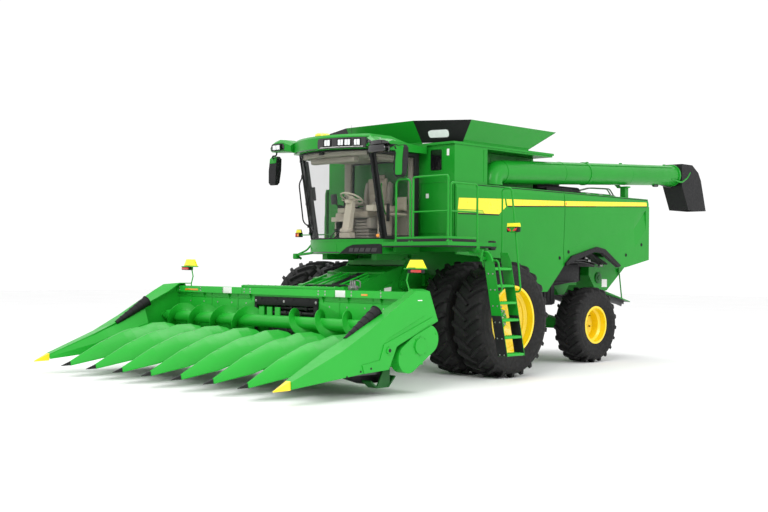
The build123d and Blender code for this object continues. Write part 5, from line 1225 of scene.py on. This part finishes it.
def deck_equipment():
    """Engine cover, air filter, exhaust and screen on the rear deck, below the folded auger."""
    bm = bmesh.new()
    block(bm, 0.62, 1.4, 2.47, 3.35, 3.235, 3.385, 0.03)
    block(bm, 0.56, 1.17, 2.47, 3.22, 3.36, 3.485, 0.04)
    block(bm, 0.7, 1.34, 3.36, 3.7, 3.235, 3.37, 0.03)
    block(bm, 0.6, 1.15, 3.2, 3.92, 3.24, 3.455, 0.04)
    for k in range(7):
        block(bm, 0.6, 1.13, 2.53 + 0.09 * k, 2.57 + 0.09 * k, 3.478, 3.496, 0.006)
    block(bm, -1.25, -0.25, 2.55, 3.55, 3.234, 3.262, 0.012)
    for k in range(14):
        block(bm, -1.21, -0.29, 2.6 + 0.065 * k, 2.63 + 0.065 * k, 3.258, 3.284, 0.006)
    piece("engine_cover", bm, PLASTIC)
    bm = bmesh.new()
    block(bm, 0.55, 1.3, 3.78, 5.2, 3.232, 3.33, 0.03)
    block(bm, 0.65, 1.2, 3.95, 5.0, 3.325, 3.37, 0.03)
    block(bm, -1.4, -0.1, 4.0, 5.25, 3.232, 3.262, 0.015)
    for k in range(4):
        block(bm, -1.3 + 0.32 * k, -1.12 + 0.32 * k, 4.08, 5.17, 3.258, 3.276, 0.008)
    piece("deck_hatches", bm, GREEN)
    bm = bmesh.new()
    for y in (4.0, 4.45, 4.9):
        block(bm, 1.19, 1.25, y, y + 0.14, 3.33, 3.352, 0.005)
    sweep(bm, [(0.3, 3.0, 3.24), (0.3, 3.0, 3.46), (0.3, 3.1, 3.56)], 0.075, 0.07, 24)
    lathe(bm, [(0, 0.085), (0.1, 0.085), (0.12, 0.078)], (0.3, 3.0, 3.235), UP, 28)
    sweep(bm, [(1.27, 4.05, 3.26), (1.27, 4.05, 3.31), (1.27, 5.1, 3.31), (1.27, 5.1, 3.26)], 0.012,
        0.04, 8)
    for x in (1.1, 1.16):
        sweep(bm, [(x, 3.9, 3.4), (x, 4.25, 3.47), (x, 4.95, 3.49), (x, 5.1, 3.36)], 0.014, 0.06, 8)
    piece("exhaust", bm, STEEL)
    bm = bmesh.new()
    lathe(bm, [(0, 0.15), (0.02, 0.16), (0.26, 0.16), (0.3, 0.13), (0.31, 0.0)],
        (-0.15, 3.0, 3.235), UP, 36)
    for k in range(5):
        lathe(bm, [(0, 0.16), (0.01, 0.166), (0.02, 0.16)], (-0.15, 3.0, 3.29 + 0.04 * k), UP, 36)
    piece("air_cleaner", bm, PLASTIC)

    # the black box between the axles; a black wall, sheet and shelf in the arch behind it, which
    # paint the arch's shade; its fittings and its lines
    bm = bmesh.new()
    for side in (1, -1):
        block(bm, *span(side, 0.815, 1.28), 2.02, 2.93, 1.13, 1.93, 0.05)
        block(bm, *span(side, 0.815, 1.28), 2.93, 3.74, 1.56, 1.93, 0.05)
        for k in range(7):
            block(bm, *span(side, 1.275, 1.295), 2.1 + 0.11 * k, 2.14 + 0.11 * k, 1.2, 1.86, 0.008)
        # wall, sheet and shelf are black: painted shade inside the rear wheel's arch
        wall = [(2.02, 1.15), (2.93, 1.15), (3.27, 1.46), (4.42, 1.59), (4.42, 1.96), (2.02, 1.96)]
        slab(bm, wall, "x", *span(side, 0.812, 0.822), 0.002)
        sheet = [(2.74, 1.9), (3.3, 1.92), (3.8, 1.88), (4.6, 1.87), (4.6, 2.06), (2.74, 2.06)]
        slab(bm, sheet, "x", *span(side, 1.015, 1.045), 0.006)
        shelf = [(2.9, 2.02), (3.65, 2.13), (3.95, 2.12), (4.5, 1.92), (4.5, 1.95), (3.95, 2.15),
            (3.65, 2.16), (2.9, 2.05)]
        slab(bm, shelf, "x", *span(side, 1.05, 1.42), 0.004)
    piece("side_tanks_and_arch_shade", bm, PLASTIC)
    bm = bmesh.new()
    for side in (1, -1):
        for y, z in ((3.767, 2.045), (3.86, 1.995), (4.28, 1.905)):
            block(bm, *span(side, 1.36, 1.43), *near(y, 0.045), z - 0.02, z + 0.028, 0.01)
    piece("arch_fittings", bm, STEEL)
    bm = bmesh.new()
    for side in (1, -1):
        for x, radius, heights in ((1.38, 0.012, (1.99, 2.01, 1.97, 1.88)),
                (1.32, 0.009, (1.95, 1.97, 1.93, 1.86))):
            sweep(bm, [(side * x, y, z) for y, z in zip((3.05, 3.7, 4.02, 4.4), heights)], radius,
                0.08, 8)
    piece("arch_lines", bm, DARK_STEEL)


def rear_details():
    """Lamps, plates and grips of the rear hood, and what is on the chopper and its tailboard."""
    hood = skin("rear_hood")
    bm, work, red, amber = (bmesh.new() for _ in range(4))
    for side in (1, -1):
        for lens, x in ((red, 1.36), (amber, 1.24)):
            m = at(*behind(hood, side * x, 2.98))
            block(bm, -0.062, 0.062, -0.062, 0.062, 0, 0.022, 0.008, m)
            block(lens, -0.05, 0.05, -0.05, 0.05, 0.016, 0.034, 0.012, m, 3)
        m = at(*behind(hood, side * 0.95, 3.05))
        block(bm, -0.085, 0.085, -0.06, 0.06, 0, 0.05, 0.012, m)
        block(work, -0.07, 0.07, -0.045, 0.045, 0.045, 0.056, 0.012, m, 3)
    for z in (2.3, 2.42, 2.54, 2.66):
        block(bm, -0.95, 0.95, -0.022, 0.022, 0, 0.012, 0.006, at(*behind(hood, 0, z)))
    piece("rear_lamp_housings", bm, PLASTIC)
    piece("rear_red_lenses", red, RED)
    piece("rear_amber_lenses", amber, AMBER)
    piece("rear_work_lenses", work, LENS)
    bm = bmesh.new()
    plate(bm, [(0.0, 0.19), (0.165, -0.095), (-0.165, -0.095)], at(*behind(hood, -0.55, 2.86)), 0.0,
        0.008)
    piece("rear_triangle", bm, AMBER)
    bm = bmesh.new()
    for side in (1, -1):
        grip = [(side * 0.7, y, z) for y, z in ((5.615, 2.62), (5.66, 2.64), (5.66, 2.86),
            (5.615, 2.88))]
        sweep(bm, grip, 0.012, 0.03, 8)
    piece("rear_grips", bm, GREEN)

    chopper = skin("chopper_housing")
    bm = bmesh.new()
    for side in (1, -1):
        drape_side(bm, rect(4.93, 5.12, 1.46, 1.62), chopper, side, 0.003, 0.005, 0.4)
    piece("chopper_blank_plates", bm, WHITE)
    bm = bmesh.new()
    for side in (1, -1):
        wall, _ = beside(chopper, side, 4.88, 1.65)  # clear of the shaft's hole
        place, normal = Vector((wall.x, 4.79, 1.65)), Vector((side, 0, 0))
        profile = [(0, 0.115), (0.018, 0.115), (0.026, 0.098), (0.026, 0.052), (0.04, 0.046),
            (0.042, 0)]
        lathe(bm, profile, place, normal)
        bolt_ring(bm, place + normal * 0.017, normal, 0.078, 6, 0.007, 0.008)
    piece("chopper_bearings", bm, DARK_GREEN)

    (_, y0, _), (_, y1, _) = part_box("tailboard")
    y0, y1 = y0 - AXLE_Y + 0.06, y1 - AXLE_Y - 0.03
    tree = skin("tailboard")
    bm = bmesh.new()
    for k in range(9):
        x = -0.8 + 0.2 * k
        rings = []
        for t in (0.0, 0.5, 1.0):
            place = touch(tree, (x, y0 + (y1 - y0) * t, BELOW_Z), UP)[0]
            px = x + 0.1 * (x / 0.8) * t * t
            corners = ((-0.004, 0.0), (0.004, 0.0), (0.004, 0.055), (-0.004, 0.055))
            y, z = y0 + (y1 - y0) * t, place.z
            rings.append([bm.verts.new((px + dx, y, z - dz)) for dx, dz in corners])
        loft(bm, rings)
    piece("tailboard_vanes", bm, DARK_STEEL)


def gable(x, foot, top, low, high):
    """An upright plate's outline in (x, z), with half widths foot and top."""
    return [(x - foot, low), (x + foot, low), (x + top, high), (x - top, high)]


def lamps_on_posts():
    """Reflector plates and lenses of the four marker lamps."""
    # the lone post on the machine's right
    x, y, z, w, h = -2.2, -0.595, 2.47, 0.18, 0.07
    tree = skin("right_marker")
    plates, red, amber = (bmesh.new() for _ in range(3))
    for way in (1, -1):
        outline = gable(x, w * 0.47, w * 0.315, z + 0.004, z + h - 0.004)
        drape(plates, outline, tree, y - way, (0, way, 0), 0.003, 0.004, 0.5)
    block(red, x - w * 0.28, x - 0.004, y - 0.056, y - 0.04, z - 0.07, z - 0.01, 0.008)
    block(amber, x + 0.004, x + w * 0.28, y - 0.056, y - 0.04, z - 0.07, z - 0.01, 0.008)
    block(red, *near(x, w * 0.28), y + 0.04, y + 0.054, z - 0.07, z - 0.01, 0.008)
    piece("right_marker_plates", plates, FLUO)
    piece("right_marker_red", red, RED)
    piece("right_marker_amber", amber, AMBER)

    # the ladder's post
    y, z, h = -0.5, 2.485, 0.075
    xs = [v.co.x for v in NODES["ladder"].data.vertices if z + h - 0.004 < v.co.z < z + h + 0.004]
    x = (min(xs) + max(xs)) / 2
    plates, red, pod = (bmesh.new() for _ in range(3))
    for y0 in (y - 0.022, y + 0.01):
        slab(plates, gable(x, 0.125, 0.115, z + 0.012, z + h - 0.002), "y", y0, y0 + 0.012, 0.003)
    block(pod, *near(x, 0.118), y - 0.04, y + 0.036, z - 0.072, z + 0.008, 0.014)
    for turn in (1, -1):
        for y0 in (y - 0.05, y + 0.034):
            lens = [(x + turn * a, z - b) for a, b in ((0.012, 0.06), (0.08, 0.052), (0.104, 0.004),
                (0.04, 0.02))]
            slab(red, lens, "y", y0, y0 + 0.012, 0.003)
    piece("ladder_plates", plates, FLUO, "ladder")
    piece("ladder_red", red, RED, "ladder")
    piece("ladder_lamp_pod", pod, PLASTIC, "ladder")

    # the two at the header's ends
    y, z, h = -2.73, 1.82, 0.12
    plates, red, pods, trays = (bmesh.new() for _ in range(4))
    for turn, mid in ((1, 2.865), (-1, -2.745)):
        for y0, y1 in ((y - 0.022, y - 0.01), (y + 0.01, y + 0.022)):
            slab(plates, gable(mid, 0.19, 0.108, z - 0.008, z + h - 0.001), "y", y0, y1, 0.003)
        a, b = sorted((mid - turn * 0.055, mid + turn * 0.185))
        block(pods, a, b, y - 0.075, y - 0.012, z - 0.078, z - 0.02, 0.012)
        block(red, a + 0.018, b - 0.018, y - 0.086, y - 0.07, z - 0.07, z - 0.03, 0.01)
        block(trays, *near(mid, 0.192), y - 0.075, y + 0.035, z - 0.021, z - 0.006)
    piece("header_lights_plates", plates, FLUO, "header")
    piece("header_lights_red", red, RED, "header")
    piece("header_lamp_pods", pods, PLASTIC, "header")
    piece("header_lamp_trays", trays, HEAD_GREEN, "header")


stripes()
tank_fittings()
corner_panes()
auger_trim()
deck_equipment()
rear_details()
lamps_on_posts()


# ---------------------------------------------------------------- header and feeder house
def header_front():
    """What is bolted to the header's frame: throat, conveyor, seams, plates, coupling and lines."""
    bm = bmesh.new()
    block(bm, -0.8, 0.8, -2.816, -2.788, 1.175, 1.315, 0.01)
    for x0, x1 in ((-0.8, -0.735), (0.7, 0.8)):
        block(bm, x0, x1, -2.816, -2.788, 0.7, 1.18, 0.008)
    for x in (-0.6, -0.2, 0.2, 0.6):
        bolt(bm, (x, -2.816, 1.285), FORE, 0.012, 0.008)
    piece("throat_frame", bm, PLASTIC, "header")
    bm = bmesh.new()
    for x in (-0.755, 0.755, -0.03):
        bolt(bm, (x, -2.816, 1.245), FORE, 0.016, 0.01)
    for side in (-1, 1):
        for x in (0.86, 1.02, 1.62, 2.26, 2.9):
            for z in (1.383, 1.432):
                bolt(bm, (side * x, -2.86, z), FORE, 0.011, 0.008)
        for x in (1.05, 1.45, 1.85, 2.25, 2.65):
            bolt(bm, (side * x, -2.79, 1.19), FORE, 0.01, 0.007)
    for k in range(13):
        bolt(bm, (-1.0 + 0.18 * k, -2.79, 1.505), UP, 0.01, 0.007)
    piece("beam_bolts", bm, STEEL, "header")

    # feeder conveyor behind the throat
    bm = bmesh.new()
    slats = ((-2.63, 1.05), (-2.5, 1.125), (-2.36, 1.115), (-2.66, 0.9), (-2.6, 0.76),
        (-2.45, 0.665), (-2.3, 0.66))
    for y, z in slats:
        block(bm, -0.64, 0.64, *near(y, 0.02), *near(z, 0.022))
        for x in (-0.56, -0.19, 0.19, 0.56):
            block(bm, *near(x, 0.035), *near(y, 0.034), *near(z, 0.034), 0.006)
    lathe(bm, [(0, 0.185), (1.26, 0.185)], (-0.63, -2.46, 0.9), (1, 0, 0), 40)
    piece("feeder_slats", bm, DARK_STEEL, "header")

    # seams, stiffeners and brackets of the back sheet and the beam
    bm = bmesh.new()
    for side in (-1, 1):
        for x in (0.915, 1.5, 2.22):
            slab(bm, [(-2.842, 1.355), (-2.788, 1.24), (-2.788, 1.355)], "x",
                *near(side * x, 0.006), 0.002)
        for x in (1.28, 2.02, 2.62):
            block(bm, *near(side * x, 0.012), -2.797, -2.789, 0.64, 1.345, 0.003)
        block(bm, *span(side, 0.93, 2.98), -2.8, -2.789, 1.268, 1.292)
    block(bm, -1.1, 1.25, -2.848, -2.828, 1.462, 1.5, 0.006)
    for x in (-1.09, 1.24):
        block(bm, *near(x, 0.012), -2.862, -2.845, 1.355, 1.498)
    piece("beam_seams", bm, HEAD_GREEN, "header")
    bm = bmesh.new()
    for x0, x1 in ((-1.6, -1.365), (1.258, 1.482)):
        block(bm, x0, x1, -2.8645, -2.859, 1.352, 1.457, 0.0015)
    block(bm, 2.872, 2.976, -2.8635, -2.859, 1.37, 1.38, 0.001)
    piece("beam_blank_plates", bm, WHITE, "header")
    bm = bmesh.new()
    for x0, x1 in ((-2.72, -2.34), (1.842, 1.978)):
        block(bm, x0, x1, -2.8655, -2.859, 1.383, 1.412, 0.0015)
    for side in (-1, 1):
        block(bm, *span(side, 2.985, 2.6), -2.682, -2.6765, 1.385, 1.415, 0.001)
    piece("beam_reflectors", bm, AMBER, "header")

    # coupling block and its rigid lines
    bm = bmesh.new()
    block(bm, 1.43, 1.6, -2.755, -2.685, 1.459, 1.535, 0.008)
    for x in (1.46, 1.505, 1.55):
        lathe(bm, [(0, 0.017), (0.05, 0.017), (0.055, 0.013), (0.085, 0.013)], (x, -2.72, 1.53), UP,
            14)
    lathe(bm, [(0, 0.024), (0.075, 0.024), (0.082, 0.016)], (1.575, -2.755, 1.5), FORE, 18)
    sweep(bm, [(1.6, -2.7, 1.5), (1.65, -2.7, 1.5), (1.655, -2.7, 1.6), (1.56, -2.7, 1.618)], 0.009,
        0.03, 8)
    piece("line_coupler", bm, DULL, "header")
    bm = bmesh.new()
    for k in range(4):
        x = 0.3 + 0.045 * k
        sweep(bm, [(1.4 - 0.03 * k, -2.7, 1.525 + 0.004 * k), (x + 0.05, -2.7, 1.525),
            (x, -2.58, 1.39), (x, -2.2, 1.478), (x, -1.42, 1.722)], 0.0105, 0.06, 8)
    for y, z in ((-2.35, 1.42), (-2.0, 1.53), (-1.6, 1.66)):
        block(bm, 0.27, 0.47, *near(y, 0.015), z - 0.07, z + 0.022)
    piece("feeder_lines", bm, PLASTIC, "header")
    bm = bmesh.new()
    for x in (-0.12, 0.05, 0.51):
        sweep(bm, [(x, -2.55, 1.34), (x, -2.45, 1.4), (x, -1.42, 1.722)], 0.016)
    for x in (-0.5, 0.56):
        slab(bm, [(-2.58, 1.28), (-1.42, 1.648), (-1.42, 1.698), (-2.58, 1.33)], "x", x - 0.012, x,
            0.003)
    piece("feeder_pipes", bm, HEAD_GREEN, "header")


def feeder_side():
    """Plates and bearings on the feeder house's sides, and the step bracket by the cab."""
    tree = skin("feeder_house")
    bm = bmesh.new()
    for y0, y1, z0, z1 in ((-1.42, -1.34, 1.345, 1.41), (-1.26, -1.09, 1.4, 1.47)):
        drape(bm, [(y0, z0), (y1, z0 + 0.02), (y1, z1 + 0.02), (y0, z1)], tree, BESIDE_X,
            (-1, 0, 0), 0.003, 0.004, 0.4)
    piece("feeder_blank_plates", bm, WHITE, "header")
    bm = bmesh.new()
    for side in (1, -1):
        for y, z in ((-2.3, 0.62), (-1.95, 0.74), (-1.3, 0.98)):
            place, normal = beside(tree, side, y, z + 0.18)
            lathe(bm, [(0, 0.07), (0.012, 0.07), (0.016, 0.05), (0.02, 0.03), (0.03, 0.0)], place,
                normal, 28)
            bolt_ring(bm, place + normal * 0.011, normal, 0.055, 6, 0.007, 0.006)
    place, normal = beside(tree, 1, -2.24, 1.0)
    bolt_ring(bm, place, normal, 0.095, 10, 0.009, 0.01)
    bolt(bm, place, normal, 0.022, 0.016)
    for y in (-1.25, -1.5, -1.75, -2.0):
        place, normal = beside(tree, 1, y, 1.26 + (y + 1.6) * 0.42)
        bolt(bm, place, normal, 0.011, 0.01)
    piece("feeder_bearings", bm, STEEL, "header")
    bm = bmesh.new()
    sweep(bm, [(-0.45, -1.4, 2.215), (-0.45, -1.52, 2.1), (-1.22, -1.52, 2.03),
        (-1.22, -1.4, 1.97)], 0.022, 0.06)
    sweep(bm, [(-0.95, -1.4, 2.215), (-0.95, -1.5, 2.12), (-1.22, -1.52, 2.03)], 0.016)
    block(bm, -1.27, -1.17, -1.56, -1.48, 1.96, 2.06, 0.014)
    piece("step_bracket", bm, GREEN)


def row_chains():
    """The links of the gathering chains' upper faces, two runs on each side of a row."""
    bm = bmesh.new()
    for k in range(8):
        x = (k - 3.5) * ROW_PITCH
        for side in (-1, 1):
            cx = x + side * 0.052
            for j in range(13):
                y = -4.5 + 0.08 * j
                for run in (-1, 1):
                    shift = run * 0.012 if run == -side else 0
                    x0, x1 = cx + run * 0.022 - 0.008 + shift, cx + run * 0.022 + 0.008 + shift
                    block(bm, x0, x1, *near(y, 0.018), 0.436, 0.452, 0.0)
    piece("gathering_chains", bm, DARK_STEEL, "header")


def shield_details():
    """Fasteners, marks and shoes of the header's end shields."""
    bm, dark, white, rubber = (bmesh.new() for _ in range(4))
    tree = skin("end_shields")
    drive = skin("end_drives")
    for side in (1, -1):
        for y, z in ((-4.4, 0.33), (-4.14, 0.388), (-3.95, 0.42)):
            place, normal = beside(tree, side, y, z, CLEAR_X)
            lathe(dark, [(-0.001, 0.016), (0.003, 0.016), (0.005, 0.01), (0.004, 0.0)], place,
                normal, 16)
        place, normal = beside(tree, side, -3.6, 0.655, CLEAR_X)
        lathe(bm, [(0, 0.055), (0.018, 0.05), (0.02, 0.03)], place, normal, 28)
        lathe(dark, [(0.015, 0.032), (0.024, 0.028), (0.026, 0.0)], place, normal, 6)
        crease = [(-3.62, 0.8), (-2.85, 1.115), (-2.85, 1.127), (-3.62, 0.812)]
        drape_side(bm, crease, tree, side, 0.004, 0.006, 0.3, start=CLEAR_X)
        drape_side(white, rect(-3.0, -2.905, 1.342, 1.355), tree, side, 0.002, 0.003, 0.3,
            start=CLEAR_X)
        for y, z in ((-2.62, 0.86), (-3.36, 0.6)):
            bolt(bm, *beside(drive, side, y, z, CLEAR_X), 0.014, 0.01)
        bolt_ring(bm, (side * 3.1695, -2.96, 0.69), (side, 0, 0), 0.142, 8, 0.009, 0.009)
        shoe = [(-3.98, 0.255), (-3.62, 0.15), (-3.2, 0.15), (-3.14, 0.385), (-3.95, 0.385)]
        slab(rubber, shoe, "x", *span(side, 2.52, 2.7), 0.02)
    piece("shield_fittings", bm, HEAD_GREEN, "header")
    piece("shield_bolts", dark, CHASSIS, "header")
    piece("shield_marks", white, WHITE, "header")
    piece("shoe_blocks", rubber, PLASTIC, "header")

    # rings round the flared rubber deflectors
    bm = bmesh.new()
    for side in (1, -1):
        a, b = Vector((side * 2.8903, -4.19, 0.82)), Vector((side * 2.8803, -3.57, 1.19))
        way = (b - a).normalized()
        length = (b - a).length
        for t in (0.18, 0.34, 0.5, 0.66, 0.82):
            r = 0.036 + (0.092 - 0.036) * t
            lathe(bm, [(-0.01, r - 0.004), (-0.006, r + 0.0055), (0.006, r + 0.0065),
                (0.01, r - 0.003)], a + way * length * t, way, 36)
        lathe(bm, [(-0.014, 0.088), (-0.01, 0.101), (0.001, 0.102), (0.0015, 0.085)], b, way, 40)
    piece("deflector_rings", bm, RUBBER, "header")


def hood_details():
    """Latches on the divider hoods."""
    bm = bmesh.new()
    tree = skin("divider_hoods", "divider_snouts")
    for k in range(1, 8):
        for y in (-3.6, -4.75):
            place, normal = touch(tree, ((k - 4) * ROW_PITCH, y, ABOVE_Z), DOWN)
            lathe(bm, [(-0.002, 0.02), (0.005, 0.018), (0.007, 0.0)], place, normal, 18)
    piece("hood_latches", bm, HEAD_GREEN, "header")


header_front()
feeder_side()
row_chains()
shield_details()
hood_details()


# ---------------------------------------------------------------- ladder and platform
def ladder_x(z):
    """The middle of the ladder's side plates at a height."""
    return 2.72 + 0.32 * (2.08 - z) / 1.65


def ladder_trim():
    """Treads, lower side plates and bolts of the ladder."""
    bm = bmesh.new()
    for k in range(6):
        z = 0.47 + 1.36 / 5 * k
        x = ladder_x(z)
        block(bm, x - 0.085, x + 0.105, -0.888, -0.462, z - 0.038, z + 0.006, 0.016)
        for j in range(7):
            for dx in (0.045, -0.035):
                stud = (x + dx, -0.84 + 0.055 * j, z + 0.005)
                lathe(bm, [(0, 0.014), (0.007, 0.01), (0.007, 0.006)], stud, UP, 10)
    slab(bm, [(2.34, 2.086), (2.64, 2.086), (2.64, 1.84), (2.614, 1.9), (2.575, 1.985),
        (2.48, 2.035), (2.34, 2.056)], "y", -0.906, -0.894, 0.002)
    sweep(bm, [(2.34, -0.905, 2.088), (2.74, -0.905, 2.088), (2.8, -0.905, 2.02),
        (2.835, -0.905, 1.93)], 0.013, 0.06, 8)
    piece("ladder_treads", bm, HEAD_GREEN, "ladder")
    bm = bmesh.new()
    for y0, y1, half, low in (
        (-0.9035, -0.8985, 0.098, 0.432),
        (-0.4515, -0.4465, 0.098, 0.432),
        (-0.4645, -0.4645 + 0.006, 0.097, 0.433),
        (-0.8925, -0.8925 + 0.006, 0.097, 0.433),
    ):
        outline = [(ladder_x(z) + dx, z) for z, dx in ((1.07, -half), (1.07, half), (low, half),
            (low, -half))]
        slab(bm, outline, "y", y0, y1, 0.001)
    piece("ladder_lower_plates", bm, PLASTIC, "ladder")
    bm = bmesh.new()
    for y, way in ((-0.9, FORE), (-0.45, AFT)):
        for k in range(6):
            z = 0.455 + 0.256 * k
            for dx in (-0.045, 0.045):
                bolt(bm, (ladder_x(z) + dx, y + 0.0025 * way[1], z), way, 0.01, 0.008)
    piece("ladder_bolts", bm, STEEL, "ladder")


def platform_trim():
    """Edges, toe boards, tread strips and rail feet of the platform."""
    bm = bmesh.new()
    block(bm, 1.14, 2.57, -1.695, -1.66, 2.155, 2.181)
    block(bm, 2.545, 2.575, -1.68, -0.49, 2.155, 2.181)
    block(bm, 2.49, 2.572, -0.62, -0.49, 2.12, 2.275, 0.02)
    block(bm, 1.46, 2.555, -1.692, -1.68, 2.241, 2.29, 0.002)
    block(bm, 2.555, 2.567, -1.68, -1.0, 2.241, 2.29, 0.002)
    piece("platform_under_edge", bm, CHASSIS)
    bm = bmesh.new()
    block(bm, 1.46, 2.572, -1.697, -1.68, 2.286, 2.322, 0.005)
    block(bm, 2.556, 2.572, -1.68, -1.0, 2.286, 2.322, 0.005)
    piece("toe_boards", bm, GREEN)
    bm = bmesh.new()
    for x0, x1 in ((1.17, 1.78), (1.84, 2.53)):
        for k in range(9):
            y = -1.62 + 0.125 * k
            block(bm, x0, x1, y, y + 0.085, 2.238, 2.2425, 0.002)
    piece("platform_tread", bm, DARK_GREEN)
    bm = bmesh.new()
    for x, y in ((1.42, -1.67), (1.74, -1.67), (1.8, -1.67), (2.55, -1.67), (2.55, -1.61),
            (2.55, -0.96)):
        lathe(bm, [(0, 0.032), (0.006, 0.032), (0.008, 0.02), (0.03, 0.019)], (x, y, 2.2395), UP,
            20, hoop=True)
    piece("rail_feet", bm, GREEN)


ladder_trim()
platform_trim()


# ---------------------------------------------------------------- floor, light and camera
def stage():
    """A white floor and surroundings, and three soft lights."""
    mesh = bpy.data.meshes.new("floor")
    mesh.from_pydata([(-60, -60, 0), (60, -60, 0), (60, 60, 0), (-60, 60, 0)], [], [(0, 1, 2, 3)])
    floor = bpy.data.objects.new("floor", mesh)
    bpy.context.scene.collection.objects.link(floor)
    mat, tree, bsdf = new_material("floor_white")
    tree.links.new(
        ramp(tree, noise(tree, 0.4, vector=object_coords(tree)).outputs["Fac"],
            [(0.3, grey(0.9)), (0.7, grey(0.93))]),
        bsdf.inputs["Base Color"],
    )
    bsdf.inputs["Roughness"].default_value = 0.9
    mesh.materials.append(mat)
    world = bpy.data.worlds.new("studio")
    bpy.context.scene.world = world
    world.use_nodes = True
    background = world.node_tree.nodes["Background"]
    background.inputs["Color"].default_value = (1, 1, 1, 1)
    background.inputs["Strength"].default_value = 1.06

    def area(name, place, target, size, power):
        light = bpy.data.lights.new(name, "AREA")
        light.shape = "DISK"
        light.size = size
        light.energy = power
        obj = bpy.data.objects.new(name, light)
        obj.location = place
        obj.rotation_euler = (Vector(target) - Vector(place)).to_track_quat("-Z", "Y").to_euler()
        bpy.context.scene.collection.objects.link(obj)

    area("key", (9, -16, 14), (0, -1, 1.5), 9, 1250)
    area("side", (18, 2, 9), (0, 0, 2), 8, 650)
    area("top", (-3, 2, 16), UP, 12, 900)
    bpy.context.scene.view_settings.view_transform = "Standard"


def camera():
    """The photograph's view, from the machine's front left, standing height."""
    yaw, pitch, roll = 0.776314866, -0.0102609605, 0.0091483907
    back = Vector((math.sin(yaw) * math.cos(pitch), -math.cos(yaw) * math.cos(pitch),
        math.sin(pitch)))
    right = (-back).cross(Vector(UP)).normalized()
    up = right.cross(-back)
    c, s = math.cos(roll), math.sin(roll)
    right, up = c * right + s * up, c * up - s * right
    data = bpy.data.cameras.new("view")
    focal, width = 1139.17616, 768  # both in pixels of the photograph
    data.sensor_width = 36.0
    data.lens = data.sensor_width * focal / width
    data.clip_end = 200
    obj = bpy.data.objects.new("view", data)
    rotation = Matrix((right, up, back)).transposed().to_4x4()
    obj.matrix_world = Matrix.Translation((14.3265161, -15.0862509 + AXLE_Y, 1.81852264)) @ rotation
    bpy.context.scene.collection.objects.link(obj)
    bpy.context.scene.camera = obj


stage()
camera()
